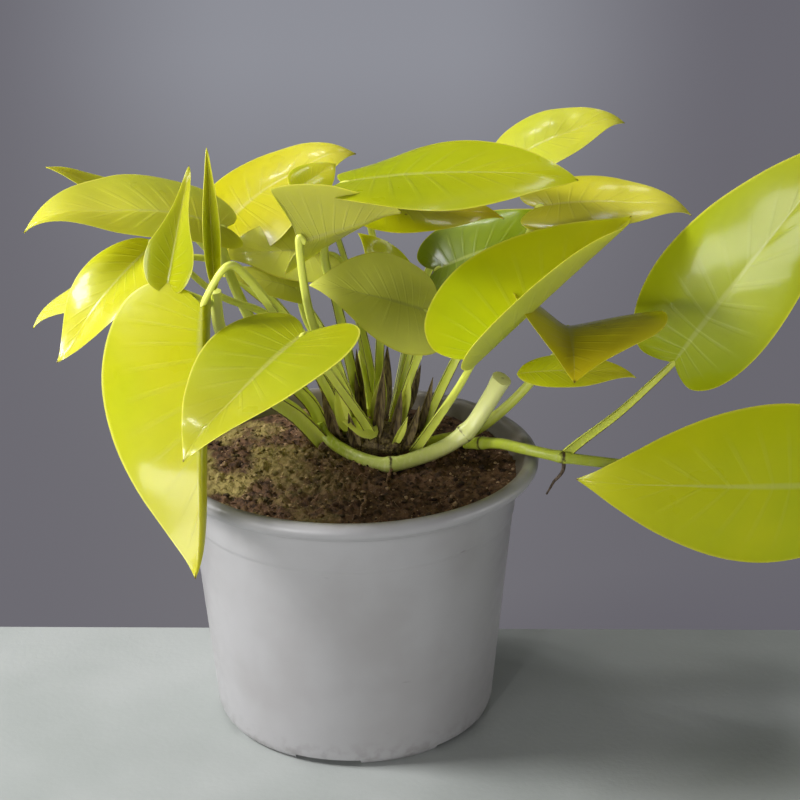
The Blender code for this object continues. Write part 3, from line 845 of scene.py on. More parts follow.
@dataclass
class Tube:
    """A living stalk: a tapering tube that may be grooved, winged, ringed or cut.

    Attributes:
        name: The piece's name.
        nodes: The plain nodes that it stands for.
        path: The points that its middle passes.
        start_radius: Its radius at the first point.
        end_radius: Its radius at the last point.
        finish: Its finish.
        slot: The record's slot.
        sheath: How far up it has papery wings, from 0 to 1.
        faces: The way that its groove faces at the start.
        rings: Where it has the scars of old leaves, from 0 to 1.
        cut_end: Whether its far end is a flat cut.
        kinks: How far it strays from its path.
        spacing: How far apart its rings of corners are.
        turns: The angles round it that have corners, closer together at the wings.
        wing_turn: The angle from the groove to each wing.
        wing_width: How wide a wing is, in degrees.
        wing_height: How far a wing stands out, as a part of the radius.
        ring_height: How far a leaf scar stands out, as a part of the radius.
    """

    name: str
    nodes: tuple[str, ...]
    path: tuple[Point, ...]
    start_radius: float
    end_radius: float
    finish: StalkFinish
    slot: Slot = Slot.PETIOLE
    sheath: float = 0.0
    faces: Point = (0.0, -1.0, 0.25)
    rings: tuple[float, ...] = ()
    cut_end: bool = False
    kinks: float = 0.0
    spacing: float = 1.3

    turns: tuple[float, ...] = (-160, -135, -110, -88, -70, -57, -49, -44, -40, -36, -29, -15, 0,
                                15, 29, 36, 40, 44, 49, 57, 70, 88, 110, 135, 160)
    wing_turn: float = 40.0
    wing_width: float = 5.5
    wing_height: float = 0.50
    ring_height: float = 0.22

    def frames(self) -> tuple[Array, Array, Array, Array]:
        """Return places along the stalk, their points, and two directions square to it."""
        points = np.array(self.path, float)
        length = np.linalg.norm(np.diff(points, axis=0), axis=1).sum()
        count = max(10, int(length / self.spacing))
        places = np.linspace(0.0, 1.0, count)
        line = smooth_path(points, places)
        if self.kinks:
            for row, point in enumerate(line):
                wobble = noise.noise_vector(Vector(point) * 0.28)
                line[row] += np.array(wobble) * self.kinks * math.sin(math.pi * places[row]) ** 0.5
        tangents = unit(np.gradient(line, axis=0))
        fronts = np.empty_like(line)
        front = np.array(self.faces, float)
        for row, tangent in enumerate(tangents):
            front = unit(front - tangent * (front @ tangent))
            fronts[row] = front
        return places, line, fronts, np.cross(tangents, fronts)

    def build(self) -> bpy.types.Object:
        """Model the stalk as one closed tube.

        Returns:
            The finished piece.
        """
        places, line, fronts, sides = self.frames()
        turns = np.array(self.turns)
        radius = self.start_radius + (self.end_radius - self.start_radius) * places
        radius = radius * (1 + 0.10 * ramp(places, 0.94, 1.0))
        for ring in self.rings:
            radius = radius * (1 + self.ring_height * bell(places - ring, 0.022))
        wings = bell(turns - self.wing_turn, self.wing_width) + bell(
            turns + self.wing_turn, self.wing_width)
        winged = ramp(places, self.sheath, self.sheath - 0.12) if self.sheath else 0 * places
        shape = 1 + self.wing_height * wings[None, :] * winged[:, None]
        shape -= bell(turns, 26.0)[None, :] * (0.10 + 0.22 * winged[:, None])
        across = np.cos(np.radians(turns))[None, :] * shape * radius[:, None]
        along_side = np.sin(np.radians(turns))[None, :] * shape * radius[:, None]
        points = (line[:, None, :] + fronts[:, None, :] * across[..., None]
                  + sides[:, None, :] * along_side[..., None])
        scars = bell(turns - self.wing_turn, 3.2) + bell(turns + self.wing_turn, 3.2)
        scars = scars[None, :] * winged[:, None]
        for ring in self.rings:
            scars = np.maximum(scars, 0.62 * bell(places - ring, 0.012)[:, None])
        count, sides_count = points.shape[:2]
        index = np.arange(count * sides_count).reshape(count, sides_count)
        faces = [face for low, high in zip(index, index[1:]) for face in join_rings(low, high)]
        ends = []
        for row, outward in ((0, -1), (count - 1, 1)):
            step = unit(line[-1] - line[-2]) if outward > 0 else unit(line[1] - line[0])
            bulge = 0.1 if self.cut_end and outward > 0 else 0.45
            ends.append(line[row] + step * outward * radius[row] * bulge)
            centre = count * sides_count + len(ends) - 1
            faces += join_rings(index[row], [centre] * sides_count)
        everything = np.vstack([points.reshape(-1, 3), np.array(ends)]) * MM
        piece = mesh_piece(self.name, everything, faces, [stalk_material(self.finish)])
        along = np.append(np.repeat(places, sides_count), (0.0, 1.0))
        scar = np.append(scars.ravel(), (0.0, 0.55 if self.cut_end else 0.0))
        add_floats(piece.data, "along", along)
        add_floats(piece.data, "scar", scar)
        place_piece(piece, self.slot, self.nodes)
        return piece


def stalk_material(finish: StalkFinish | DryFinish) -> bpy.types.Material:
    """Return a stalk finish's material, made once."""
    return bpy.data.materials.get(finish.name) or finish.build()


@dataclass
class Petiole:
    """The stalk of one leaf, from its foot in the crown to the leaf's midrib.

    Attributes:
        leaf: The leaf that it carries.
        path: The points that it passes on its way to the leaf.
        foot_radius: Its radius at its foot.
        top_radius: Its radius at the leaf.
        sheath: How far up it has papery wings, from 0 to 1.
        faces: The way that its groove faces at the foot.
        swell: How much its foot swells.
        buried: How far its foot goes on below the first point.
    """

    leaf: str
    path: tuple[Point, ...]
    foot_radius: float
    top_radius: float
    sheath: float = 0.55
    faces: Point = (0.0, -1.0, 0.25)
    swell: float = 1.2
    buried: float = 5.0

    def build(self, leaf: Leaf) -> bpy.types.Object:
        """Model the petiole and run it under its leaf's midrib.

        Args:
            leaf: The leaf that it carries.

        Returns:
            The finished piece.
        """
        point, _, _, up = leaf.midrib(np.array([0.0, 0.06]))
        under = point / MM - up * np.array([[0.6], [1.0]]) * self.top_radius * 0.9
        name = self.leaf.replace("leaf", "petiole", 1)
        start, following = np.array(self.path[:2], float)
        buried = start - unit(following - start) * self.buried
        path = (tuple(buried), *self.path, *map(tuple, under))
        tube = Tube(name + "_stalk", (name,), path,
                    self.foot_radius * self.swell, self.top_radius * 0.55, PETIOLE,
                    sheath=self.sheath, faces=self.faces)
        return tube.build()


PETIOLES = (
    Petiole("leaf_front_left_hanging", ((0, 22, 88), (-10, 4, 118), (-22, -12, 143),
            (-31, -24, 161), (-37, -33, 168)), 1.8, 1.5),
    Petiole("leaf_front_left", ((9, 16, 88), (3, 4, 104), (-8, -14, 128), (-12, -28, 142)),
            1.7, 1.4),
    Petiole("leaf_left_low", ((-3, 28, 88), (-12, 14, 118), (-26, 2, 140), (-43, -6, 151)),
            1.6, 1.2),
    Petiole("leaf_left_low_back", ((-4, 36, 88), (-22, 34, 130), (-46, 24, 153)), 1.6, 1.2),
    Petiole("leaf_left_upper", ((-9, 23, 89), (-14, 18, 104), (-25, 12, 120), (-37, 6, 148),
            (-42, 8, 166)), 2.4, 1.6),
    Petiole("leaf_left_back", ((1, 43, 88), (-16, 46, 118), (-40, 42, 142), (-56, 35, 162)),
            1.6, 1.2),
    Petiole("leaf_centre", ((13, 17, 88), (20, 17, 112), (26, 14, 130)), 1.7, 1.3),
    Petiole("leaf_yellow_upper", ((2, 35, 88), (-8, 37, 120), (-26, 38, 146)), 1.6, 1.3),
    Petiole("leaf_small_upper", ((7, 43, 88), (2, 48, 130), (-6, 47, 160), (-12, 34, 170)),
            1.3, 1.0),
    Petiole("leaf_top", ((5, 29, 88), (1, 18, 112), (-4, 12, 140), (-8, 11, 158),
            (-6, 10, 176)), 1.9, 1.5),
    Petiole("leaf_under_top", ((2, 17, 88), (-1, 8, 110), (-12, -6, 140)), 2.0, 1.6),
    Petiole("leaf_behind_right", ((17, 34, 88), (22, 38, 112), (29, 42, 132)), 1.6, 1.3),
    Petiole("leaf_narrow_inner", ((13, 26, 88), (19, 27, 112), (24, 30, 130)), 1.4, 1.1),
    Petiole("leaf_front_right", ((21, 10, 88), (28, -2, 104), (34, -18, 121)), 1.7, 1.4),
    Petiole("leaf_curled_right", ((30, 15, 90), (42, 16, 93), (54, 15, 103), (65, 12, 117),
            (71, 4, 128)), 2.0, 1.5, sheath=0.0),
    Petiole("leaf_vine_upper", ((69, -13, 95), (76, -9, 99), (89, -4, 107), (101, 1, 116)),
            1.5, 1.5, sheath=0.85, buried=0.5),
    Petiole("leaf_vine_lower", ((128, -6, 86), (146, -3, 85), (158, -7, 84)), 1.6, 1.4,
            buried=2.0),
    Petiole("leaf_middle_left", ((10, 38, 88), (5, 37, 120), (-2, 32, 148)), 1.5, 1.2),
    Petiole("leaf_inner_left", ((0, 30, 88), (-6, 27, 112), (-15, 25, 131)), 1.4, 1.1),
    Petiole("leaf_olive_middle", ((9, 31, 88), (10, 32, 112), (11, 34, 140), (8, 28, 160)),
            1.7, 1.4),
    Petiole("leaf_left_young", ((-44, -22, 153), (-52, -26, 158)), 1.2, 1.0, sheath=0.0,
            buried=1.0),
    Petiole("leaf_right_pointing", ((23, 22, 88), (38, 14, 125), (57, 14, 158)), 1.7, 1.3),
    Petiole("leaf_top_back", ((15, 43, 88), (26, 62, 130), (44, 62, 165)), 1.7, 1.3),
)

STEMS = (
    Tube("main_stem_body", ("main_stem",), ((-11, 14, 97), (-7, 11, 92), (0, 5, 89.6),
         (6, 0, 89), (13, -3, 89), (22, 0, 90), (32, 3, 93), (40, 4, 99), (46, 3, 109),
         (50, 0, 118)),
         1.9, 3.1, PALE_STEM, Slot.STEM, rings=(0.44, 0.75), cut_end=True),
    Tube("left_shoot_body", ("left_shoot",), ((-11, 14, 92), (-19, 5, 105), (-28, -4, 116),
         (-36, -12, 131), (-41, -17, 142), (-42, -20, 156)), 3.0, 1.8, PETIOLE, sheath=0.8),
    Tube("side_vine_body", ("side_vine",), ((39, 12, 90), (49, 2, 94), (57, -9, 96.4),
         (69, -13, 95), (84, -11, 91.8), (104, -8, 88), (125, -6, 86), (136, -6, 86)),
         1.9, 1.7, VINE, rings=(0.07, 0.43, 0.86)),
)

ROOT_TUBES = (
    Tube("aerial_root_fibre", ("aerial_root",), ((70, -13, 94.6), (69, -14, 90.5), (66.5, -15, 87),
         (64, -16, 83)), 0.75, 0.3, BARK, Slot.ROOT, kinks=0.9, spacing=0.5),
    Tube("stem_root_fibre", ("stem_root",), ((13, -6, 88.5), (12, -10, 87.8), (11, -15, 87.4)),
         0.5, 0.3, ROOTS, Slot.ROOT, kinks=0.6, spacing=0.5),
    Tube("surface_root_fibre", ("surface_root",), ((4, -25, 87.3), (4, -30, 88),
         (3, -35, 87.8), (2, -40, 87.0)), 0.5, 0.25, ROOTS, Slot.ROOT, kinks=0.9, spacing=0.5),
)


@dataclass
class Scale(Leaf):
    """A papery sheath or small bract among the stalks' feet, built as a tiny leaf."""

    rows: int = 16
    half_columns: int = 5
    thickness: float = 0.35
    wave: float = 1.2
    waves: float = 3.0
    groove: float = 0.0
    rib: float = 0.1
    left: float = 55.0
    right: float = 55.0
    hook: float = 0.0
    outline: Outline = LANCE
    slot: Slot = Slot.PETIOLE
    dry: bool = True

    def finishes(self) -> list[bpy.types.Material]:
        """Return the materials of its upper side and underside."""
        return [stalk_material(SHEATHS if self.dry else PETIOLE)] * 2

    def stands_for(self) -> tuple[str, ...]:
        """Return no nodes, as a sheath stands for none."""
        return ()


# The dry sheaths: base, tip, the way that they face and width.
DRY_SHEATHS = (
    ((-4, 15, 89), (-10, 9, 113), (-0.2, -1.0, 0.1), 5),
    ((2, 10, 89), (-1, 4, 105), (0.0, -1.0, 0.2), 5),
    ((8, 12, 90), (11, 6, 121), (0.1, -1.0, 0.1), 5),
    ((13, 13, 89), (17, 9, 111), (0.2, -1.0, 0.0), 5),
    ((17, 11, 89), (23, 5, 107), (0.4, -0.9, 0.1), 5),
    ((4, 20, 91), (2, 15, 124), (0.0, -1.0, 0.1), 5),
    ((-7, 23, 90), (-16, 19, 111), (-0.6, -0.8, 0.2), 5),
    ((21, 19, 89), (28, 16, 113), (0.5, -0.8, 0.1), 5),
    ((11, 31, 91), (13, 38, 117), (0.2, 1.0, 0.2), 6),
    ((0, 35, 90), (-7, 42, 110), (-0.4, 0.9, 0.2), 5),
    ((18, 37, 90), (25, 43, 108), (0.5, 0.9, 0.2), 5),
)

# The green bracts: base, tip, the way that they face, width and fold.
GREEN_BRACTS = (
    ((9, 9, 96), (-3, 4, 102), (0.0, -0.7, 0.7), 8, 20),
    ((14, 9, 91), (19, 5, 103), (0.3, -0.9, 0.3), 4, 55),
    ((8, 14, 98), (11, 7, 119), (0.1, -1.0, 0.2), 7, 55),
    ((-1, 13, 95), (-5, 6, 114), (-0.1, -1.0, 0.2), 7, 55),
    ((15, 16, 95), (20, 11, 116), (0.3, -0.9, 0.1), 6, 55),
    ((6, 33, 95), (3, 40, 115), (0.0, 1.0, 0.2), 7, 55),
)

SCALES = (
    *(Scale(f"dry_sheath_{number}", *sizes) for number, sizes in enumerate(DRY_SHEATHS, 1)),
    *(Scale(f"green_bract_{number}", *sizes, dry=False, left=fold, right=fold)
      for number, (*sizes, fold) in enumerate(GREEN_BRACTS, 1)),
)


@dataclass
class Crown:
    """The fibrous crown that the stalks stand in, with its dry sheaths and green bracts."""

    centre: Point = (10.0, 17.0, 88.5)
    radii: Point = (14.0, 12.0, 7.0)
    roughness: float = 1.5
    scales: tuple[Scale, ...] = SCALES

    def build(self) -> list[bpy.types.Object]:
        """Model and dress the crown.

        Returns:
            Its pieces.
        """
        shape = bmesh.new()
        bmesh.ops.create_icosphere(shape, subdivisions=5, radius=1.0)
        points = []
        for vert in shape.verts:
            place = Vector(c + r * v for c, r, v in zip(self.centre, self.radii, vert.co))
            streaks = Vector((place.x * 1.1, place.y * 1.1, place.z * 0.35))
            rough = noise.turbulence(streaks, 4, False) * 1.6 + noise.noise(place * 0.3) - 0.6
            points.append(tuple(place + vert.co.normalized() * rough * self.roughness))
        faces = [tuple(vert.index for vert in face.verts) for face in shape.faces]
        shape.free()
        mound = mesh_piece("crown_fibres", np.array(points) * MM, faces,
                           [stalk_material(SHEATHS)], 180.0)
        place_piece(mound, Slot.ROOT)
        return [mound] + [scale.build() for scale in self.scales]


@dataclass
class Plant:
    """Everything that grows: leaves, petioles, stems and roots."""

    leaves: tuple[Leaf, ...] = LEAVES
    petioles: tuple[Petiole, ...] = PETIOLES
    stems: tuple[Tube, ...] = STEMS
    roots: tuple[Tube, ...] = ROOT_TUBES

    def build(self) -> list[bpy.types.Object]:
        """Model and dress the plant.

        Returns:
            Its pieces.
        """
        for finish in LEAF_FINISHES.values():
            for underside in (False, True):
                LEAF_MATERIALS[finish.name, underside] = finish.build(underside)
        by_name = {leaf.name: leaf for leaf in self.leaves}
        pieces = [leaf.build() for leaf in self.leaves]
        pieces += [petiole.build(by_name[petiole.leaf]) for petiole in self.petioles]
        pieces += [tube.build() for tube in (*self.stems, *self.roots)]
        return pieces


# --------------------------------------------------------------------------------- pot, soil


@dataclass
class Pot:
    """The flared nursery pot, turned from its wall's profile, with drain slots in its foot.

    Attributes:
        sides: How many corners each ring has.
        wall: The wall's radius and height, up the outside, over the lip and down the inside.
        lip_ring: The ring of the lip from which the lip's top and inside are darkened: painted
            shade, partly soil staining.
        lip_radius: The lip's radius.
        shade_and_stain_start: How dark the painted shade and staining are at the lip, from 0 to 1.
        shade_and_stain_fade: How far in from the lip the painted shade and staining are full.
        drain_count: How many drain slots there are.
        drain_start: Where the first one is, in degrees.
        drain_width: How wide a slot is.
        drain_height: How high a slot is.
        drain_inner: The radius of a slot's inner end.
        drain_outer: The radius of a slot's outer end.
        finish: The pot's finish.
    """

    sides: int = 160
    wall: tuple[tuple[float, float], ...] = (
        (0, 0), (38, 0), (44.0, 0), (45.2, 0.15), (46.2, 0.7), (47.0, 1.6), (47.6, 3.0), (48, 4.5),
        (49.4, 20), (51.2, 40), (53.0, 60), (54.3, 73.6), (54.4, 74.2), (54.65, 74.6),
        (54.75, 75.4), (55.4, 83.5), (55.6, 85.0), (56.4, 86.2), (58.6, 87.3), (60.6, 88.3),
        (61.8, 89.3), (62.4, 90.4), (62.5, 91.3), (62.2, 92.3), (61.5, 93.1), (60.4, 93.5),
        (59.2, 93.45), (58.3, 93.1), (57.8, 92.4), (57.3, 91.0), (56.2, 88.3), (55.1, 86.0),
        (54.4, 84), (46.4, 6.1), (43.4, 1.6), (0, 1.6),
    )
    lip_ring: int = 22
    lip_radius: float = 62.5
    shade_and_stain_start: float = 0.2
    shade_and_stain_fade: float = 6.5
    drain_count: int = 6
    drain_start: float = -102.0
    drain_width: float = 22.0
    drain_height: float = 2.2
    drain_inner: float = 42.0
    drain_outer: float = 51.0
    finish: PotFinish = field(default_factory=PotFinish)

    def build(self) -> list[bpy.types.Object]:
        """Model and dress the pot.

        Returns:
            Its one piece.
        """
        profile = np.array(self.wall, float)
        angles = np.linspace(0, 2 * math.pi, self.sides, endpoint=False)
        points: list[Array] = []
        rings: list[list[int]] = []
        for radius, height in profile:
            if radius == 0:
                rings.append([len(points)] * self.sides)
                points.append(np.array([0.0, 0.0, height]))
                continue
            rings.append(list(range(len(points), len(points) + self.sides)))
            points += [np.array([radius * math.cos(a), radius * math.sin(a), height])
                       for a in angles]
        faces = [face for low, high in zip(rings, rings[1:]) for face in join_rings(low, high)]
        pot = mesh_piece("pot_shell", np.array(points) * MM, faces, [self.finish.build()], 35.0)
        inner = np.zeros(len(points))
        # From the lip's outer edge inwards, the lip's top and the inside of the rim get painted
        # shade, partly soil staining.
        for ring, (radius, _) in list(zip(rings, profile))[self.lip_ring:]:
            inner[ring] = min(1.0, self.shade_and_stain_start + (self.lip_radius - radius) / self.shade_and_stain_fade)
        add_floats(pot.data, "inner", inner)
        for index in range(self.drain_count):
            self.cut_drain(pot, index)
        place_piece(pot, Slot.POT, ("pot",))
        return [pot]

    def cut_drain(self, pot: bpy.types.Object, index: int) -> None:
        """Cut one shallow drain slot through the pot's foot.

        Args:
            pot: The turned pot.
            index: Which slot, from 0.
        """
        angle = math.radians(self.drain_start + 360 * index / self.drain_count)
        bpy.ops.mesh.primitive_cube_add(size=MM)
        cutter = bpy.context.object
        cutter.name = f"drain_cutter_{index + 1}"
        cutter.scale = (self.drain_outer - self.drain_inner, self.drain_width,
                        2 * self.drain_height)
        middle = (self.drain_outer + self.drain_inner) / 2 * MM
        cutter.location = (middle * math.cos(angle), middle * math.sin(angle), 0)
        cutter.rotation_euler = (0, 0, angle)
        cutter.hide_render = True
        cutter.display_type = "WIRE"
        cut = pot.modifiers.new(cutter.name, "BOOLEAN")
        cut.operation = "DIFFERENCE"
        cut.solver = "EXACT"
        cut.object = cutter


@dataclass
class SoilBed:
    """The plug of soil with its crumbly top, loose crumbs and fibres.

    Attributes:
        rim_radius: The top's radius, a little inside the pot's wall.
        back_rise: How much higher the back is than the front.
        mound_x: The middle of the mound at the crown, along x.
        mound_y: The middle of the mound at the crown, along y.
        mound_width: How far the mound spreads.
        mound_height: How high the mound is.
        edge_height: The top's height at the pot's wall.
        crown_height: The top's height in the middle.
        swell_radius: Where the middle's swell has come down to the edge's height.
        rise_width: How gently the front goes over to the back.
        lump_height: The height of its lumps.
        rough_height: The height of its finer roughness.
        calm_rim: Where it starts and ends to be calmer towards the wall.
        foot: The plug's radius and height below the top, ring by ring.
        rings: How many rings of corners the top has.
        spokes: How many corners each ring has.
        crumbs: How many loose crumbs there are.
        fibres: How many loose fibres there are.
        seed: The start of the random draws.
    """

    rim_radius: float = 55.6
    back_rise: float = 2.2
    mound_x: float = 9.0
    mound_y: float = 24.0
    mound_width: float = 15.0
    mound_height: float = 5.0
    edge_height: float = 86.0
    crown_height: float = 87.0
    swell_radius: float = 50.0
    rise_width: float = 22.0
    lump_height: float = 1.5
    rough_height: float = 0.9
    calm_rim: tuple[float, float] = (47.0, 54.0)
    foot: tuple[tuple[float, float], ...] = ((53.8, 83), (46, 8), (44, 4.5))
    rings: int = 90
    spokes: int = 300
    crumbs: int = 2600
    fibres: int = 40
    seed: int = 5

    def height(self, x: float, y: float) -> float:
        """Return the soil's height at a place, in millimetres."""
        radius = math.hypot(x, y)
        swell = self.edge_height + (self.crown_height - self.edge_height) * math.cos(
            min(radius / self.swell_radius, 1.0) * math.pi / 2)
        swell += self.back_rise * (0.5 + 0.5 * math.tanh((y - 0.3 * x) / self.rise_width))
        spread = ((x - self.mound_x) / self.mound_width) ** 2
        spread += ((y - self.mound_y) / self.mound_width) ** 2
        mound = self.mound_height * math.exp(-spread)
        rough = noise.fractal(Vector((x, y, 0.0)) * 0.10, 0.9, 2.1, 4) * self.rough_height
        lumps = noise.turbulence(Vector((x, y, 7.0)) * 0.42, 4, False) * self.lump_height
        calm = 1 - float(ramp(np.array(radius), *self.calm_rim)) * 0.5
        return swell + mound + (rough + lumps - self.lump_height / 2) * calm

    def bed(self) -> bpy.types.Object:
        """Model the plug: a fine rough top on plain sides."""
        radii = np.linspace(0, self.rim_radius, self.rings + 1)[1:]
        points = [(0.0, 0.0, self.height(0, 0))]
        for radius in radii:
            for k in range(self.spokes):
                angle = 2 * math.pi * k / self.spokes
                x, y = radius * math.cos(angle), radius * math.sin(angle)
                points.append((x, y, self.height(x, y)))
        for radius, height in self.foot:
            for k in range(self.spokes):
                angle = 2 * math.pi * k / self.spokes
                points.append((radius * math.cos(angle), radius * math.sin(angle), height))
        points.append((0.0, 0.0, self.foot[-1][1]))
        last = len(points) - 1
        rings = [[0] * self.spokes, *np.arange(1, last).reshape(-1, self.spokes),
                 [last] * self.spokes]
        faces = [face for low, high in zip(rings, rings[1:]) for face in join_rings(low, high)]
        bed = mesh_piece("soil_bed", np.array(points) * MM, faces,
                         [SoilFinish("potting_soil").build()], 180.0)
        place_piece(bed, Slot.SOIL, ("soil",))
        return bed

    def loose_crumbs(self, chance: random.Random) -> bpy.types.Object:
        """Scatter small irregular crumbs over the soil.

        Args:
            chance: The source of random numbers.

        Returns:
            The crumbs, as one piece.
        """
        shape = bmesh.new()
        bmesh.ops.create_icosphere(shape, subdivisions=1, radius=1.0)
        ball = np.array([vert.co for vert in shape.verts])
        ball_faces = [tuple(vert.index for vert in face.verts) for face in shape.faces]
        shape.free()
        points: list[Array] = []
        faces: list[tuple[int, ...]] = []
        for _ in range(self.crumbs):
            radius = (self.rim_radius - 1.5) * math.sqrt(chance.random())
            angle = chance.uniform(0, 2 * math.pi)
            x, y = radius * math.cos(angle), radius * math.sin(angle)
            size = 0.25 + 0.85 * chance.random() ** 4
            shift = Vector((x, y, 3.0))
            body = [Vector(corner) * (1 + 0.5 * noise.noise(Vector(corner) * 1.3 + shift))
                    for corner in ball]
            squash = (chance.uniform(0.6, 1.3), chance.uniform(0.6, 1.3), chance.uniform(0.5, 0.9))
            centre = np.array([x, y, self.height(x, y) + 0.15 * size])
            start = len(points)
            points += [centre + np.array(corner) * size * np.array(squash) for corner in body]
            faces += [tuple(start + corner for corner in face) for face in ball_faces]
        crumbs = mesh_piece("soil_crumbs", np.array(points) * MM, faces,
                            [SoilFinish("soil_crumb").build(each=True)], 180.0)
        place_piece(crumbs, Slot.SOIL)
        return crumbs

    def loose_fibres(self, chance: random.Random) -> bpy.types.Object:
        """Scatter thin curved fibres over the soil.

        Args:
            chance: The source of random numbers.

        Returns:
            The fibres, as one piece.
        """
        curve = bpy.data.curves.new("soil_fibres", "CURVE")
        curve.dimensions = "3D"
        curve.bevel_depth = MM
        curve.bevel_resolution = 1
        curve.use_fill_caps = True
        for _ in range(self.fibres):
            radius = (self.rim_radius - 7) * math.sqrt(chance.random())
            angle = chance.uniform(0, 2 * math.pi)
            x, y = radius * math.cos(angle), radius * math.sin(angle)
            heading = chance.uniform(0, 2 * math.pi)
            bend = chance.uniform(-0.25, 0.25)
            thick = chance.uniform(0.08, 0.22)
            count = chance.randint(5, 11)
            spline = curve.splines.new("POLY")
            spline.points.add(count - 1)
            for step, point in enumerate(spline.points):
                lift = 0.25 + 0.9 * math.sin(math.pi * step / (count - 1)) * chance.random()
                point.co = (x * MM, y * MM, (self.height(x, y) + lift) * MM, 1.0)
                point.radius = thick * (1 - 0.6 * step / count)
                x += 0.9 * math.cos(heading)
                y += 0.9 * math.sin(heading)
                heading += bend + chance.uniform(-0.2, 0.2)
        curve.materials.append(stalk_material(ROOTS))
        fibres = bpy.data.objects.new("soil_fibres", curve)
        bpy.context.scene.collection.objects.link(fibres)
        place_piece(fibres, Slot.ROOT)
        return fibres

    def build(self) -> list[bpy.types.Object]:
        """Model and dress the soil.

        Returns:
            Its pieces.
        """
        chance = random.Random(self.seed)
        return [self.bed(), self.loose_crumbs(chance), self.loose_fibres(chance)]


# --------------------------------------------------------------------------------- the studio


@dataclass(frozen=True)
class Lamp:
    """One soft lamp: where it hangs, its width and height, and its power in watts."""

    name: str
    place: Point
    size: tuple[float, float]
    power: float

    def hang(self, aim: Point) -> None:
        """Hang the lamp, facing a point."""
        light = bpy.data.lights.new(self.name, "AREA")
        light.shape = "RECTANGLE"
        light.size, light.size_y = self.size
        light.energy = self.power
        lamp = bpy.data.objects.new(self.name, light)
        lamp.location = self.place
        turn = (Vector(aim) - Vector(self.place)).to_track_quat("-Z", "Y")
        lamp.rotation_euler = turn.to_euler()
        bpy.context.scene.collection.objects.link(lamp)


LAMPS = (
    Lamp("window_left", (-1.00, -0.06, 0.95), (0.36, 0.36), 19.5),
    Lamp("room_front", (-0.74, -1.02, 0.16), (0.9, 0.22), 9.0),
    Lamp("window_bars", (-0.40, -1.10, 0.66), (0.04, 0.20), 1.0),
    Lamp("wall_right", (1.05, -0.22, 0.16), (0.7, 0.2), 2.4),
    Lamp("skylight_left", (-0.42, 0.28, 1.06), (0.04, 0.16), 0.9),
    Lamp("skylight_middle", (-0.26, 0.28, 1.12), (0.04, 0.16), 0.9),
    Lamp("skylight_right", (0.24, 0.48, 1.14), (0.10, 0.14), 0.5),
    Lamp("rim_left", (-0.85, 0.55, 0.30), (0.15, 0.5), 1.6),
)


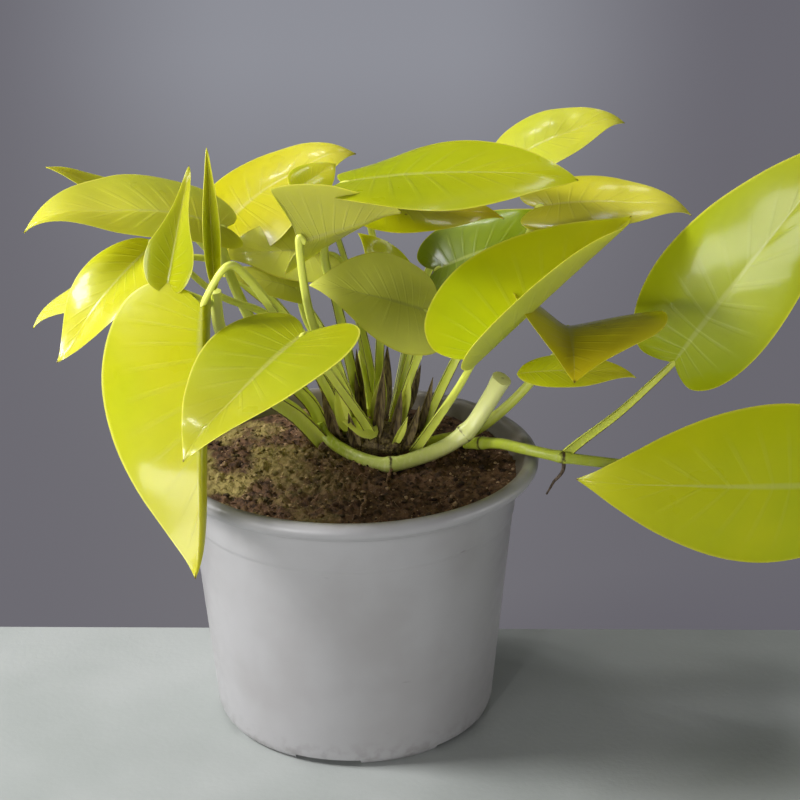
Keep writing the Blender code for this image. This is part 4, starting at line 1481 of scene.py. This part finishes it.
@dataclass
class Studio:
    """The table, backdrop, lights and camera round the plant, in metres and radians."""

    table_edge: float = 0.049
    table_turn_degrees: float = 2.8
    reach: float = 12.0
    camera_place: Point = (0.0, -0.573, 0.3308)
    pan: float = 0.0283
    tilt: float = 0.3662
    roll: float = -0.0057
    lens: float = 83.16
    sensor: float = 36.0
    lamps: tuple[Lamp, ...] = LAMPS
    aim: Point = (0.02, 0.0, 0.12)
    room_colour: Colour = (0.85, 0.86, 0.90)
    room_strength: float = 0.07

    def ground(self, name: str, side: int, height: float) -> bpy.types.Object:
        """Lay one flat sheet of the ground, up to the table's back edge or from it.

        Args:
            name: The sheet's name.
            side: -1 for the side in front of the edge, 1 for the side behind it.
            height: Its height.

        Returns:
            The sheet, marked as not part of the object.
        """
        mesh = bpy.data.meshes.new(name)
        skew = self.reach * math.tan(math.radians(self.table_turn_degrees))
        far = side * self.reach
        corners = [(-self.reach, self.table_edge + skew, height),
                   (self.reach, self.table_edge - skew, height),
                   (self.reach, far, height), (-self.reach, far, height)]
        mesh.from_pydata(corners, [], [(0, 1, 2, 3)])
        sheet = bpy.data.objects.new(name, mesh)
        bpy.context.scene.collection.objects.link(sheet)
        return sheet

    def table(self) -> None:
        """Lay the pale table."""
        made = Shading("pale_table")
        tone = made.mix(made.fade(made.cloud(14.0, 5.0), 0.3, 0.7), (0.38, 0.405, 0.388),
                        (0.445, 0.465, 0.452))
        tone = made.mix(made.sum("MULTIPLY", made.specks(60.0, 0.05, 0.05), 0.6), tone,
                        (0.16, 0.15, 0.14))
        made.bump(made.cloud(500.0, 4.0), 0.00008)
        made.set(Base_Color=tone, Roughness=0.62)
        sheet = self.ground("table", -1, 0.0)
        sheet.data.materials.append(made.material)

    def backdrop(self) -> None:
        """Lay the glowing grey backdrop behind the table, in place of a lit wall: its glow is
        painted light, brighter far back and darker to the sides.
        """
        made = Shading("grey_backdrop")
        place = made.node("ShaderNodeSeparateXYZ")
        made.tree.links.new(made.place(), place.inputs[0])
        # Painted light: the glow brightens towards the back and fades to the sides.
        far = made.fade(place.outputs["Y"], self.table_edge, 1.3)
        tone = made.mix(far, (0.145, 0.140, 0.158), (0.268, 0.274, 0.310))
        width = made.sum("ADD", place.outputs["Y"], 0.57)
        sideways = made.sum("DIVIDE", made.sum("ABSOLUTE", place.outputs["X"]), width)
        tone = made.mix(made.fade(sideways, 0.05, 0.22, 0.0, 0.9), tone, (0.125, 0.120, 0.142))
        made.set(Base_Color=(0.02, 0.02, 0.02), Roughness=1.0, Specular_IOR_Level=0.0,
                 Emission_Color=tone, Emission_Strength=1.0)
        sheet = self.ground("backdrop", 1, -0.0005)
        sheet.data.materials.append(made.material)

    def lights(self) -> None:
        """Hang the lamps and set the even light of the room."""
        for lamp in self.lamps:
            lamp.hang(self.aim)
        world = bpy.data.worlds.new("room")
        world.use_nodes = True
        background = world.node_tree.nodes["Background"]
        background.inputs["Color"].default_value = (*self.room_colour, 1.0)
        background.inputs["Strength"].default_value = self.room_strength
        bpy.context.scene.world = world

    def camera(self) -> None:
        """Set the camera in front of and above the pot."""
        data = bpy.data.cameras.new("camera")
        data.lens = self.lens
        data.sensor_width = self.sensor
        camera = bpy.data.objects.new("camera", data)
        forward = Vector((math.sin(self.pan) * math.cos(self.tilt),
                          math.cos(self.pan) * math.cos(self.tilt), -math.sin(self.tilt)))
        turn = forward.to_track_quat("-Z", "Y").to_matrix().to_4x4()
        camera.matrix_world = turn
        camera.rotation_euler.rotate_axis("Z", self.roll)
        camera.location = self.camera_place
        bpy.context.scene.collection.objects.link(camera)
        bpy.context.scene.camera = camera

    def build(self) -> None:
        """Set up everything round the plant."""
        self.table()
        self.backdrop()
        self.lights()
        self.camera()
        bpy.context.scene.view_settings.view_transform = "Standard"


def main() -> None:
    """Build the pot, the soil, the plant and the studio."""
    logging.basicConfig(level=logging.INFO, format="%(message)s")
    for part in (Pot(), SoilBed(), Plant(), Crown()):
        for piece in part.build():
            LOG.info("%s: %s", type(part).__name__, piece.name)
    Studio().build()


if __name__ == "__main__":
    main()
